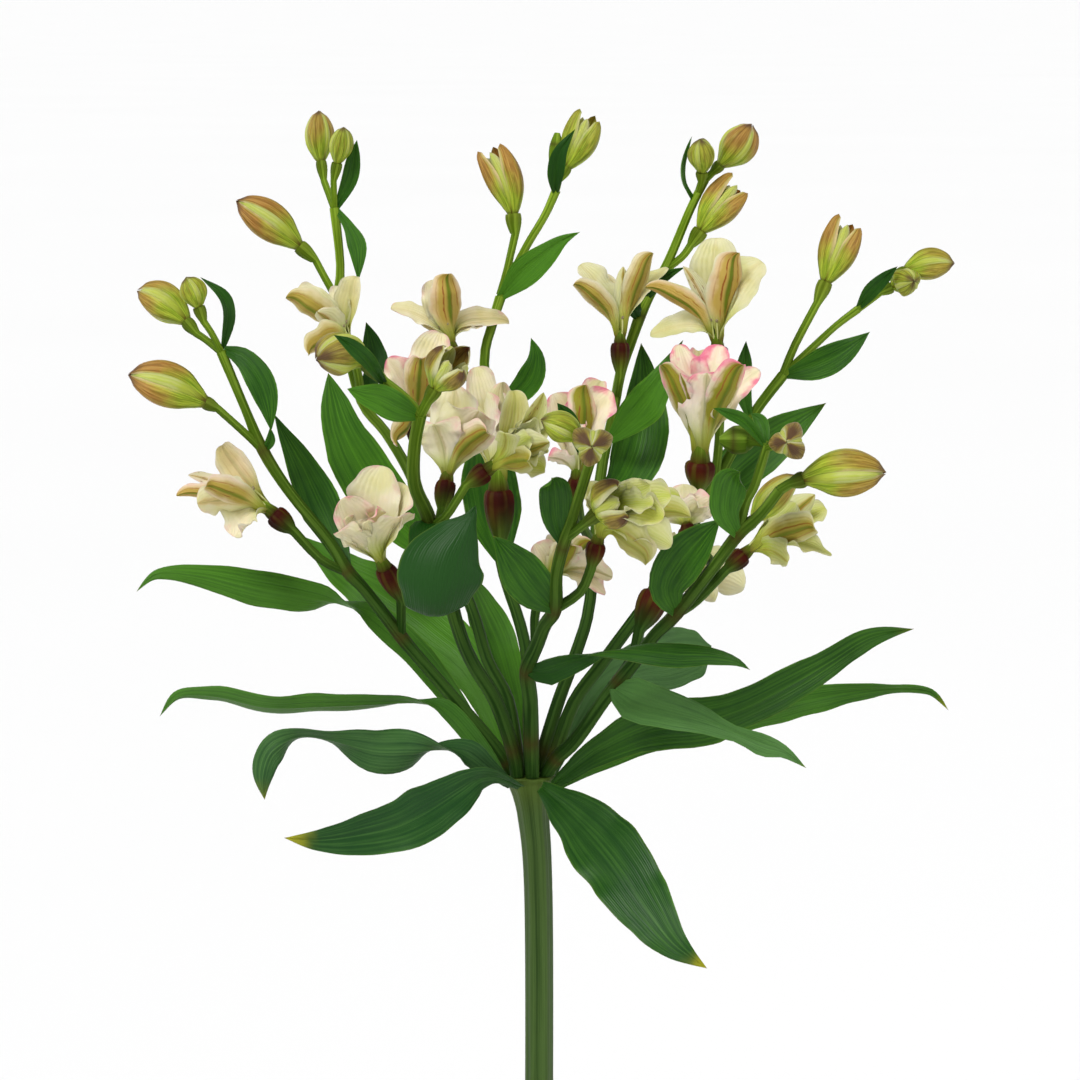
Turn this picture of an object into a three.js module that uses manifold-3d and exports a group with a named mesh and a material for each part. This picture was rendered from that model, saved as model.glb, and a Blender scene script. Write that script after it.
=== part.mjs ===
// A potted Peruvian lily: one flowering stem that stands in the soil of a plain clay pot.
// Millimetres, +Z up. The origin is the middle of the pot's underside, and the front is towards -Y.

import * as THREE from 'three';
import { mergeVertices } from 'three/addons/utils/BufferGeometryUtils.js';
import Module from 'manifold-3d';

const wasm = await Module();
wasm.setup();

// Driving dimensions.
const GAP = 0.3; // the clearance between two pieces that touch on the real plant
const POT = { top: 75, base: 53, height: 130, wall: 5, rimHeight: 26, rimOut: 4, floor: 8 };
const DRAIN = { radius: 4, ring: 26, count: 4 };
const SOIL = { top: 115, clear: 0.4, rings: 6, sectors: 24, relief: 2.2, underside: 14, seed: 7 };
const STEM = { radius: 4.5, collar: 8.3, foot: 62, sides: 12, ridge: 0.25 };
const WHORL = new THREE.Vector3(-3, 0, 330); // where the stem ends and all rays and leaves begin
const THICK = { leaf: 1.3, petal: 1.1 };
const LARGEST_SCRAP = 1; // cubic millimetres that may be lost where pieces are joined

// The plant is laid out as it is seen from the front, a little from above, by an eye at a finite
// distance: every point below is [right, up, toward] in millimetres from the whorl. `right` and `up`
// are where it is seen in the upright plane through the whorl, `toward` is its depth.
const EYE = { distance: 1300, elevation: THREE.MathUtils.degToRad(8), right: 3.3, up: 78.3 };
const RIGHT = new THREE.Vector3(1, 0, 0);
const UP = new THREE.Vector3(0, Math.sin(EYE.elevation), Math.cos(EYE.elevation));
const TOWARD = new THREE.Vector3(0, -Math.cos(EYE.elevation), Math.sin(EYE.elevation));

function seen([right, up, toward]) {
  const scale = (EYE.distance - toward) / EYE.distance;
  return WHORL.clone()
    .addScaledVector(RIGHT, EYE.right + (right - EYE.right) * scale)
    .addScaledVector(UP, EYE.up + (up - EYE.up) * scale)
    .addScaledVector(TOWARD, toward);
}

// The ten broad leaves of the whorl. Each row is [right, up, toward, half width, roll]: the midrib's
// point, half the blade's width there, and how far the blade is turned away from facing the front.
const WHORL_LEAVES = [
  [[-8.2, -3, -2, 1.6, -60], [-18, 14, -10, 3, -20], [-33, 35, -15, 4.5, 0], [-48, 50, -16, 5, 10],
    [-61.5, 57, -14, 4.2, 90], [-75, 59.5, -10, 5.6, 170], [-92, 62.5, -6, 6, 180],
    [-110, 66.5, -2, 3.8, 190], [-124, 67, 1, 1.8, 195], [-131.3, 61, 2, 0, 200]],
  [[-8, -3, 2.4, 1.6, -30], [-15.5, 8, 6.5, 3, -10], [-27, 21, 9, 3.2, 20], [-37, 24.5, 11, 3, 90],
    [-52, 24, 12, 4.2, 125], [-70, 23.3, 13, 4.8, 130], [-88, 23, 14, 5, 128],
    [-104, 26.5, 14, 4, 130], [-117, 26.5, 12, 2, 140], [-123.5, 19.5, 9, 0, 150]],
  [[-6.2, -3.5, 5.6, 1.6, -20], [-14, 2.5, 12, 3.2, 0], [-21, 7.5, 17, 4.5, 20], [-30, 9, 22, 3.8, 90],
    [-40, 8, 27, 6.8, 165], [-52, 8, 32, 7, 180], [-65, 11.8, 36, 4.4, 125], [-77, 13.3, 38, 4, 115],
    [-86, 8, 40, 4.6, 170], [-89, 0, 40, 3.4, 180], [-88.5, -8.3, 38, 0, 180]],
  [[-3, -4, 7.8, 1.8, -50], [-10, -1, 15, 2.4, -30], [-16.5, -1, 20, 4, -20], [-23.5, -5.5, 25, 6.4, 0],
    [-33.5, -12, 31, 8.8, 5], [-44, -17.3, 36, 8.4, 10], [-57, -20.3, 41, 6.4, 5],
    [-70, -21.8, 45, 3.7, 0], [-82, -21, 47, 0, 0]],
  [[-5.8, -3, -6, 1.6, 0], [-10.5, 16, -21, 4, 0], [-20, 36, -32, 8, 0], [-33, 48, -41, 10.5, 0],
    [-48, 59, -49, 10, 0], [-63, 69, -55, 6, 0], [-77, 80, -59, 0, 0]],
  [[0, -3, -7.7, 1.6, 0], [-3, 14, -23, 3.5, 0], [-7, 30, -36, 6, 0], [-11, 44, -48, 7, 0],
    [-16, 56, -57, 5.5, 0], [-21, 68, -63, 0, 0]],
  [[7.9, -3.5, 2.6, 1.6, 0], [14.5, 2, 5, 3.2, 0], [24, 8.6, 9, 5, 0], [40, 15.7, 16, 7.6, 0],
    [56.7, 17.7, 20, 8.2, 0], [70, 21.7, 21, 6.4, 0], [86.7, 30, 21, 6, 0], [100, 37.7, 20, 4.5, 0],
    [113.3, 45.7, 18, 3.3, 0], [128, 48.7, 16, 0, 0]],
  [[7.8, -4, -2.8, 1.6, 0], [24, 5, -10, 3.5, 0], [42, 13, -14, 5, 0], [60, 17, -17, 5.5, 0],
    [77, 21, -19, 5.2, 0], [92, 24.7, -20, 5, 0], [107, 27.5, -20, 3.6, 20], [121, 29, -19, 2.6, 50],
    [133, 28, -17, 1.6, 40], [139.5, 21.5, -15, 0, 0]],
  [[5.2, -3, -6.6, 1.6, 0], [15, 16.5, -20, 3.5, 0], [24, 30, -30, 5.5, 0], [35, 36, -40, 8, 0],
    [46, 38.7, -50, 10.5, 0], [55, 41, -57, 8, 0], [60.5, 43, -61, 0, 0]],
  [[3.6, -4, 7.6, 2, 0], [12, -11, 20, 6.5, 0], [22, -21, 32, 11, 0], [31, -32.5, 43, 11.2, 0],
    [39.5, -45.5, 52, 9, 0], [48, -56.5, 58, 5, 0], [59, -64.5, 62, 0, 0]],
];

// The rays. `stalks` hold rows of [right, up, toward, radius], the first one from the whorl up.
// `leaves` are bracts with rows as above, and `level` ones are turned level instead of to the front.
const RAYS = {
  left: {
    stalks: [[[-6.2, 0, -0.6, 2.3], [-8, 4, 0, 2.4], [-13, 11, 1, 2.3], [-25, 25, 3, 2.2],
      [-38, 40, 6, 2.1], [-43, 46, 8, 2.3], [-55, 61.5, 11, 2], [-61, 68, 13, 2.3], [-67, 78, 14, 1.9],
      [-80, 94, 16, 1.8], [-89, 108, 18, 2], [-95, 122, 19, 1.5], [-103, 141, 20, 1.7]]],
    leaves: [
      [[-61, 68, 12.5, 1.6, 0], [-65.5, 80, 7, 5, 0], [-70.5, 91, 4, 7, 0], [-76, 103, 3, 5, 0],
        [-81.5, 113, 4, 2.4, 0], [-85.3, 120.3, 6, 0, 0]],
      [[-88.5, 108, 18, 0.8, 0], [-86.5, 111.5, 20, 1.6, 0], [-86.7, 116, 20, 0, 0]],
      [[-102, 142, 20, 1, 0], [-95, 138.5, 23, 3.6, 0], [-89.7, 131, 25, 4.6, 0],
        [-87.3, 123, 26, 3.2, 0], [-86.3, 114.5, 26, 0, 0]],
      [[-102.5, 142, 20, 0.8, 40], [-100.7, 153, 22, 3, 50], [-103, 160, 22, 2.6, 50],
        [-110, 166, 20, 0, 40]],
    ],
  },
  upperLeft: {
    stalks: [[[-3.4, 0, -5.2, 2.2], [-4.4, 7, -6.6, 2.3], [-7.5, 25, -10, 2.2], [-14.3, 38.3, -13, 2.1],
      [-20, 56.7, -22, 2], [-33.3, 85, -32, 2], [-40.7, 101.7, -37, 1.9], [-48.3, 114.3, -42, 1.8],
      [-56.3, 124.7, -45, 1.8], [-61.7, 145, -49, 1.6], [-64, 157.3, -51, 1.8], [-63.3, 170, -51, 1.5],
      [-65.3, 189, -50, 1.7]]],
    leaves: [
      [[-27, 71, -27, 1.6, 0], [-37, 78, -24, 5, 0], [-47, 89, -22, 9, 0], [-56, 102, -21, 9.5, 0],
        [-62.5, 115, -21, 7, 0], [-65.5, 126, -22, 4, 0], [-67.3, 134, -23, 0, 0]],
      [[-57, 127, -45, 1, 0], [-51.5, 135, -47, 4, 0], [-52.5, 143, -49, 3.6, 0],
        [-54.7, 151, -50, 0, 0]],
      [[-65, 188, -50, 0.8, 0], [-60.3, 198, -48, 2.8, 0], [-58.7, 206, -47, 2.2, 0],
        [-57.7, 211.7, -46, 0, 0]],
      [[-65, 189, -50, 0.8, 0], [-60.3, 182.5, -47, 2, 0], [-57.5, 175.5, -45, 3.2, 0],
        [-57.3, 164.3, -43, 0, 0]],
      [[-63.5, 155, -51, 1, 0], [-66.5, 157.5, -49, 1.8, 0], [-69, 160, -47, 0, 0]],
    ],
  },
  frontLeft: {
    stalks: [[[-4.3, 0, 4.5, 2.3], [-6, 9, 8.5, 2.5], [-11.7, 25, 22, 2.4], [-19.7, 38.3, 34, 2.3],
      [-25, 52, 47, 2.3], [-33, 83, 70, 2.4], [-38, 95, 80, 2.2], [-39, 102, 85, 2.1],
      [-38.3, 111.7, 90, 2], [-36.7, 120, 94, 2.1]]],
    leaves: [
      [[-37, 119.5, 94, 1.2, 0], [-43.5, 122, 100, 4.2, 0], [-50, 125.3, 103, 4.6, 0],
        [-56, 127, 105, 3, 0], [-61, 128.7, 106, 0, 0]],
      [[-48.3, 130, 98, 1, 0], [-54, 138, 112, 2.4, 0], [-59.5, 143, 116, 2.2, 0],
        [-65.5, 146.7, 117, 0, 0]],
    ],
    level: [
      [[-33, 84, 71, 2, 0], [-31.5, 68, 84, 9, 0], [-30.5, 56.5, 95, 12, 0], [-28.5, 57, 104, 12.4, 0],
        [-25, 68, 110, 10, 0], [-21, 80, 110, 5, 0], [-18, 89, 108, 0, 0]],
    ],
  },
  frontMiddle: {
    stalks: [[[0.7, 0, 6.1, 2.3], [0.3, 11.7, 13, 2.6], [0, 25, 27, 2.5], [-1, 35, 38, 2.6],
      [2.3, 43.3, 47, 2.3], [5, 50, 56, 2.2], [8.3, 55.3, 64, 2.3], [8.7, 66.7, 74, 2],
      [11, 76.3, 82, 2.1], [14, 85, 89, 1.8], [16, 91.7, 96, 1.7], [20, 104.3, 110, 1.6]]],
    leaves: [
      [[-0.5, 34.5, 40, 1.4, 0], [6, 34.3, 45, 4.2, 0], [15, 37.8, 50, 3.6, 20], [24.7, 40.7, 56, 3.4, 90],
        [36.7, 41, 62, 3.6, 150], [48.5, 40, 68, 4, 165], [60, 39.7, 73, 3, 160],
        [68.3, 38, 76, 1.5, 160], [73.3, 35, 78, 0, 160]],
      [[8, 55, 65, 1.6, 0], [1.7, 61.5, 72, 6.5, 0], [-3.5, 68.5, 76, 7, 0], [-8, 74.5, 79, 4, 0],
        [-12.3, 79.7, 80, 0, 0]],
      [[11, 76.5, 82, 1.2, 0], [9, 85, 88, 4.2, 0], [8.5, 92.5, 93, 5.2, 0], [8, 97.5, 99, 4.4, 0],
        [7.5, 98.7, 106, 0, 0]],
      [[19, 103, 108, 0.8, 0], [15, 114, 104, 2.2, 0], [12, 120, 104, 2.4, 0], [9, 124, 105, 0, 0]],
    ],
  },
  topMiddle: {
    stalks: [[[0, 0, 0, 2.2], [-0.3, 18, -3, 2.3], [-0.7, 35.7, -9, 2.1], [-3.3, 50, -17, 2],
      [-10.3, 73.3, -30, 1.9], [-13.3, 108.3, -45, 1.8], [-15.3, 137.3, -57, 1.7],
      [-12.7, 150, -61, 1.7], [-10, 159, -64, 1.9]],
    [[-10, 159, -64, 1.5], [-3.3, 172.3, -63, 1.4], [0, 178.3, -62, 1.4], [5, 186.7, -61, 1.4],
      [8.7, 195, -60, 1.6]],
    [[8.7, 195, -60, 1.1], [7.5, 201, -62, 1], [8, 206, -63, 2], [8.7, 210, -63, 2.3],
      [9, 214, -63, 1]]],
    leaves: [
      [[-10, 159, -63, 1.4, 0], [-2.7, 166.7, -59, 5, 0], [4, 172.3, -56, 4.6, 0],
        [10.7, 178, -54, 2, 0], [16.7, 181, -52, 0, 0]],
      [[8.5, 194, -59, 1, 0], [8.5, 201, -54, 3, 0], [10.3, 208, -51, 2.4, 0], [15, 215.3, -50, 0, 0]],
      [[-9, 70, -28, 1.6, 0], [-11, 80, -30, 7, 0], [-12.5, 90, -31, 10, 0], [-14, 100, -32, 9, 0],
        [-15.5, 110, -33, 5, 0], [-16.5, 118, -34, 0, 0]],
      [[-13.8, 116, -48, 1, 0], [-6, 125, -45, 3.4, 0], [0, 132, -42, 4.6, 0], [2, 139, -41, 3, 0],
        [0.3, 145.7, -41, 0, 0]],
    ],
  },
  upperRight: {
    stalks: [[[2, 0, -5.9, 2.2], [4, 7, -7.6, 2.3], [9.6, 25, -11.5, 2.2], [15.7, 41.7, -16, 2.1],
      [20, 58.3, -22, 2], [23.3, 98.3, -34, 1.9], [27.3, 118.3, -38, 1.8], [30, 133.3, -41, 1.8],
      [33.3, 143.3, -43, 1.8], [36.7, 153, -45, 2], [40, 160, -45, 1.7], [46, 171, -46, 1.6],
      [53.3, 188.3, -46, 1.5], [58.3, 198.3, -46, 1.5]]],
    leaves: [
      [[36, 152, -44, 1, 0], [34.7, 156, -40, 2.6, 0], [37, 160.5, -38, 0, 0]],
      [[39, 159, -44, 1, 0], [43, 165, -39, 2.4, 0], [51.7, 169.3, -35, 0, 0]],
      [[26.5, 111.7, -36, 1.6, 0], [36.7, 121.7, -30, 6.5, 0], [42.7, 130, -28, 5, 0],
        [51, 145, -29, 0, 0]],
      [[23, 92, -33, 1.6, 0], [31, 98, -40, 7, 0], [36, 108, -45, 9.5, 0], [38, 120, -48, 8, 0],
        [38, 133, -50, 4.5, 0], [37, 144, -51, 0, 0]],
      [[55, 191, -46, 0.8, 0], [51.5, 197, -43, 1.2, 60], [51, 204, -42, 1.4, 60], [54, 213, -42, 0, 0]],
    ],
  },
  right: {
    stalks: [[[5.8, 0, -2.1, 2.3], [8, 6, -3, 2.4], [14.5, 24, -7, 2.3], [24.7, 38.3, -11, 2.2],
      [41.7, 61.7, -18, 2.1], [53.3, 81.7, -24, 2], [64, 101.7, -29, 1.9], [74.3, 120, -33, 1.8],
      [84.3, 133.3, -35, 1.9]],
    [[84.3, 133.3, -35, 1.4], [93.3, 141.7, -35, 1.3], [101.7, 149.5, -35, 1.2],
      [109.3, 155.3, -35, 1.4]]],
    leaves: [
      [[84.5, 133, -35, 1, 0], [95, 136.3, -31, 4.8, 0], [104, 140.7, -28, 4.5, 0],
        [113.3, 147.7, -27, 0, 0]],
      [[109, 155, -35, 0.8, 0], [113.5, 161, -31, 2.6, 0], [118.5, 166, -28, 2, 0],
        [122.5, 169.5, -25, 0, 0]],
      [[57, 88.5, -26, 1.6, 0], [65, 98, -36, 7, 0], [75, 107, -41, 8.5, 0], [87, 116, -43, 5.5, 0],
        [98.7, 124, -43, 0, 0]],
      [[73.5, 118, -32, 0.8, 0], [70.5, 130, -30, 3.4, 0], [71.5, 138, -28, 2.4, 0],
        [72, 144.7, -28, 0, 0]],
    ],
  },
  frontRight: {
    stalks: [[[5.3, 0, 3.2, 2.3], [8.8, 5.5, 6.6, 2.5], [15.3, 11.7, 12, 2.4], [24.7, 25, 22, 2.3],
      [30, 31.7, 29, 2.5], [36.7, 40, 39, 2.2], [41.7, 46.7, 46, 2.1], [49, 54, 54, 2.3],
      [61.7, 70, 68, 2], [69.3, 80, 76, 2.1], [76.7, 86.7, 80, 1.8], [83.3, 95, 84, 1.7]],
    [[69.3, 80, 76, 1.6], [72, 91, 81, 1.5], [75, 97, 84, 1.5], [79, 110, 90, 1.5]],
    [[79, 110, 90, 1.2], [75, 111, 89, 1.4], [72.5, 111.5, 88, 4], [67.5, 111.5, 88, 4.3],
      [63, 111.7, 88, 1]]],
    leaves: [
      [[27.3, 29.5, 28, 1.6, 0], [35, 25, 37, 7, 0], [46, 21.8, 44, 6.2, 0], [57, 18.7, 50, 4.8, 10],
        [68, 14.3, 56, 3, 30], [78, 10, 61, 3.6, 10], [85, 7.5, 64, 2, 0], [92, 2.3, 67, 0, 0]],
      [[49, 53.5, 55, 1.4, 0], [45.5, 62, 62, 5.5, 0], [50, 71, 66, 7.5, 0], [57, 79, 69, 5, 0],
        [63.5, 85.3, 71, 0, 0]],
      [[69.5, 79.5, 77, 1.2, 0], [65.5, 86.5, 82, 4, 0], [65.5, 93, 86, 5.5, 0], [67.5, 99, 91, 5, 0],
        [70, 101, 98, 0, 0]],
      [[79, 109, 90, 0.8, 0], [72, 117.5, 94, 2, 0], [66, 120.5, 95, 1.6, 0], [61, 122.3, 95, 0, 0]],
      [[79, 110, 89, 0.8, 0], [77, 117.5, 86, 2.2, 0], [73.5, 120.5, 84, 0, 0]],
    ],
  },
};

// Flowers and opening buds: `pedicel` rows as a stalk's, `ovary` is the ovary's top [right, up,
// toward, radius], and each petal is [right, up, toward, half width, kind] of its tip, where kind 0 is
// an outer tepal with a keel, 1 a narrow inner tepal and 2 a broad plain inner petal.
const FLOWERS = {
  left_low: { ray: 'left',
    pedicel: [[-43, 46, 8, 1.5], [-43, 53, 12, 1.4], [-43, 58, 16, 1.5]], ovary: [-48.5, 69, 23, 4.6],
    petals: [[-49, 103, 28, 8, 0], [-40, 97, 30, 7.5, 2], [-38.5, 87, 36, 6.5, 0], [-63, 92, 34, 6.5, 0],
      [-64.5, 80.5, 38, 5.5, 2], [-57, 94, 24, 4.5, 1], [-52, 86, 46, 4.5, 1]] },
  left_high: { ray: 'left',
    pedicel: [[-62, 68, 13, 1.5], [-70, 72, 16, 1.4], [-78.5, 81, 17, 1.5]], ovary: [-85.5, 87, 17, 4.2],
    petals: [[-102.5, 110, 10, 4.6, 0], [-102.7, 95.5, 28, 4, 0], [-108, 89, 23, 8, 2],
      [-97.5, 79, 12, 6.5, 2], [-118, 93, 14, 3.6, 0], [-114, 100, 9, 2.4, 1], [-105, 99, 4, 5, 1]] },
  upper_left: { ray: 'upperLeft',
    pedicel: [[-56.3, 124.7, -45, 1.4], [-57, 131, -40, 1.4], [-58, 136, -37, 1.5]],
    ovary: [-60.5, 143, -35, 3.6],
    petals: [[-57.5, 166, -38, 4.6, 0], [-64, 163, -42, 4, 2], [-81.5, 159, -30, 5.5, 0],
      [-77, 163, -37, 4, 2], [-73.5, 140, -22, 5, 0], [-71, 154.5, -27, 5, 1]] },
  middle_left: { ray: 'upperLeft',
    pedicel: [[-40.7, 101.7, -37, 1.5], [-39, 106, -35, 1.4], [-38.5, 110, -32, 1.5]],
    ovary: [-38, 117, -26, 3.8],
    petals: [[-47.5, 139, -14, 5, 2], [-37, 139.5, -8, 4.4, 0], [-30, 147.5, -26, 7, 2],
      [-44, 109.5, -12, 5.5, 0], [-29, 118, -14, 4, 2], [-43, 134, -22, 4.5, 1]] },
  front_cream: { ray: 'frontLeft',
    pedicel: [[-33.3, 83, 70, 1.6], [-30.5, 85, 66, 1.5], [-29.5, 88, 62, 1.6]], ovary: [-28, 97.5, 59, 4],
    petals: [[-14.5, 113.5, 72, 4.8, 0], [-15, 121.5, 66, 8, 2], [-32, 117, 66, 7.5, 2],
      [-25, 130, 58, 7, 0], [-20, 126, 50, 5, 1]] },
  front_lime: { ray: 'frontLeft',
    pedicel: [[-33.3, 83, 70, 1.5], [-28.3, 86, 76, 1.4], [-23, 94, 80, 1.4], [-21.5, 96.5, 81, 1.5]],
    ovary: [-14.5, 101.5, 82, 3.8],
    petals: [[-1, 104.5, 92, 4.6, 0], [4.5, 127.5, 84, 4.2, 1], [-6, 128, 76, 5, 0],
      [6.5, 111, 88, 5.5, 1], [-8.5, 114, 96, 3.4, 2], [3, 119, 80, 4.5, 2], [5, 102, 78, 4.5, 2]] },
  middle_back: { ray: 'topMiddle',
    pedicel: [[-9.5, 70, -28, 1.6], [-9, 73, -16, 1.5], [-9.8, 77, -7, 1.8]], ovary: [-10.5, 95, -4, 5],
    petals: [[-18, 136, -8, 6, 2], [-9, 131, 3, 5.5, 0], [-23, 124, 0, 5, 0], [-1, 125, -8, 5, 0],
      [-12, 127, -16, 5, 1]] },
  upper_back: { ray: 'topMiddle',
    pedicel: [[-15, 127, -53, 1.5], [-20, 132, -54, 1.4], [-24, 135, -53, 1.5]],
    ovary: [-26, 142, -52, 3.8],
    petals: [[-27, 167, -44, 6.2, 0], [-33, 165, -54, 5, 2], [-46.5, 155.5, -48, 4.5, 2],
      [-7, 150.5, -47, 4, 0], [-16, 151, -59, 5, 2], [-38, 153, -60, 4, 0]] },
  upper_right: { ray: 'upperRight',
    pedicel: [[29, 127, -39, 1.5], [29.5, 130, -34, 1.4], [30, 133, -32, 1.5]], ovary: [30, 144, -31, 3.8],
    petals: [[16.5, 170, -34, 5, 2], [14.5, 163.5, -22, 4.2, 0], [31, 169.5, -27, 2.6, 1],
      [41, 174, -25, 4.6, 0], [46, 169, -36, 3.4, 2], [24, 166, -41, 4, 0]] },
  middle_pink: { ray: 'upperRight',
    pedicel: [[21.5, 76, -27, 1.6], [17.5, 83, -8, 1.5], [16, 90, 7, 1.7]], ovary: [15.7, 99, 10, 3.6],
    petals: [[18.3, 130, 21, 5.4, 0], [7.5, 127, 14, 6.5, 2], [27, 128, 13, 6.5, 2],
      [24, 131, 2, 5.5, 0], [11, 126, 0, 5.5, 0], [6, 106, 17, 3.4, 2]] },
  low_back: { ray: 'frontMiddle',
    pedicel: [[-0.5, 36, 37, 1.5], [1.5, 42, 33, 1.4], [1.5, 52, 31, 1.4], [2.5, 57, 31, 1.5]],
    ovary: [5.5, 63.5, 31, 3.8],
    petals: [[1.5, 77, 30, 5, 2], [13.5, 76.5, 42, 5, 0], [27.5, 66, 36, 6.5, 2], [21, 77.5, 30, 5, 0],
      [25, 60, 30, 5, 2], [10, 79, 22, 5, 0]] },
  right_small: { ray: 'frontRight',
    pedicel: [[61, 69, 67, 1.6], [59, 73, 52, 1.5], [55.5, 75, 36, 1.5], [53.5, 76.5, 28, 1.5]],
    ovary: [52.5, 82, 22, 3.6],
    petals: [[51, 97, 16, 5.5, 2], [60.5, 92, 20, 5, 2], [56, 89, 28, 5, 0], [46, 90, 22, 5, 0]] },
  right_pink: { ray: 'right',
    pedicel: [[53.3, 81.7, -24, 1.7], [55, 86, -10, 1.6], [56, 90, 1, 1.6], [56.3, 94.5, 5, 1.8]],
    ovary: [56.7, 104.5, 8, 4.8],
    petals: [[43.7, 136.7, 18, 4.6, 0], [71, 136.5, 20, 5.2, 0], [59, 134, 25, 7, 2],
      [55.7, 141, -8, 5.5, 0], [49.5, 143.5, 3, 6, 2], [62.8, 143.5, 2, 6, 2], [76.5, 135, 8, 4.5, 2],
      [50, 134, 22, 3, 1]] },
  upper_white: { ray: 'right',
    pedicel: [[61.5, 97, -28, 1.5], [63, 112, -25, 1.4], [63.5, 128, -23, 1.4], [63, 136, -22, 1.5]],
    ovary: [62.5, 142.5, -20, 3.8],
    petals: [[60.5, 179, -24, 6.5, 2], [69.5, 174, -8, 5.8, 0], [77, 172, -18, 6.5, 2],
      [38.3, 162.5, -13, 4, 0], [40, 146.5, -16, 4, 0], [51, 169.5, -18, 3, 1], [66, 171, -30, 5, 0]] },
  front_double: { ray: 'frontMiddle',
    pedicel: [[8.3, 55.3, 64, 1.6], [16.7, 61, 68, 1.5], [20.3, 69, 72, 1.6]], ovary: [22.3, 77.3, 74, 3.8],
    petals: [[38.5, 70, 84, 7, 0], [53.5, 86, 80, 5, 0], [31, 92, 76, 4.5, 1], [42, 95, 76, 5, 1],
      [50, 93, 68, 5, 2], [47, 76, 78, 6, 2], [40, 84, 88, 4.5, 1]] },
  front_right: { ray: 'frontRight',
    pedicel: [[50, 54.5, 54, 1.6], [55.7, 58.3, 51, 1.5], [65, 68, 47, 1.5]], ovary: [71.3, 73.5, 46, 3.8],
    petals: [[95, 93, 45, 5, 0], [97, 88, 36, 5.5, 2], [94.5, 82, 58, 4.8, 0], [101, 73, 46, 5, 0],
      [86, 71, 53, 5, 2], [90, 86, 52, 4, 1]] },
  low_right: { ray: 'frontRight',
    pedicel: [[27.3, 29.3, 27, 1.7], [34, 39, 24, 1.6], [36.3, 48, 20, 1.8]], ovary: [42, 60.5, 16, 5],
    petals: [[71.5, 65, 18, 6.5, 2], [56, 69.5, 22, 4, 0], [62, 58, 23, 5, 0], [64, 73, 6, 5, 2],
      [51, 74, 10, 4.5, 1]] },
  opening_top: { ray: 'topMiddle',
    pedicel: [[-10, 160, -64, 1.3], [-7.7, 168.3, -65, 1.2], [-5, 180, -65, 1.3]],
    ovary: [-5.7, 187, -65, 3.2],
    petals: [[-17.5, 206, -61, 4.4, 0], [-9.5, 211, -63, 5, 0], [-13.5, 205, -71, 4.5, 0],
      [-12.5, 205, -60, 3, 1]] },
  opening_tip: { ray: 'topMiddle',
    pedicel: [[8.7, 195, -60, 1.2], [9.3, 198, -61, 1.3]], ovary: [12, 202.5, -62, 2.6],
    petals: [[16, 220.5, -65, 4.4, 0], [25.5, 218, -63, 4.4, 0], [20.5, 219, -56, 5, 0],
      [20, 219, -68, 4, 1]] },
  opening_right: { ray: 'upperRight',
    pedicel: [[44.5, 168, -46, 1.3], [50.5, 172.5, -46, 1.2], [53.5, 176.5, -46, 1.3]],
    ovary: [57, 181.5, -45, 3.2],
    petals: [[69.5, 199.5, -39, 5.2, 0], [71.5, 191, -47, 4.6, 0], [63, 199, -50, 4.6, 0],
      [70, 196, -45, 3.5, 1]] },
  opening_far: { ray: 'right',
    pedicel: [[84.3, 133.3, -35, 1.4], [88.3, 143.3, -35, 1.3], [95.7, 157.3, -36, 1.3]],
    ovary: [98.5, 164.3, -36, 3],
    petals: [[104, 186, -40, 4.6, 0], [109.5, 185, -32, 5.2, 0], [111.5, 181, -40, 4.6, 0],
      [106, 183, -36, 3, 1]] },
  opening_claw: { ray: 'frontLeft',
    pedicel: [[-36.5, 120, 94, 1.5], [-34.5, 124, 96, 1.5]], ovary: [-31.5, 129.5, 99, 2.8],
    petals: [[-24, 142.5, 106, 5, 0], [-19.5, 136, 101, 4.6, 0], [-23, 132, 112, 4.6, 0],
      [-26, 139, 110, 3, 1]] },
  opening_middle: { ray: 'frontMiddle',
    pedicel: [[12, 79, 84, 1.5], [18, 83.5, 92, 1.4]], ovary: [23.5, 88, 99, 2.8],
    petals: [[32, 97.5, 106, 5, 0], [43.3, 86, 108, 5, 0], [27.5, 82, 112, 5, 0], [37, 92, 112, 4, 1]] },
};

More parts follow.
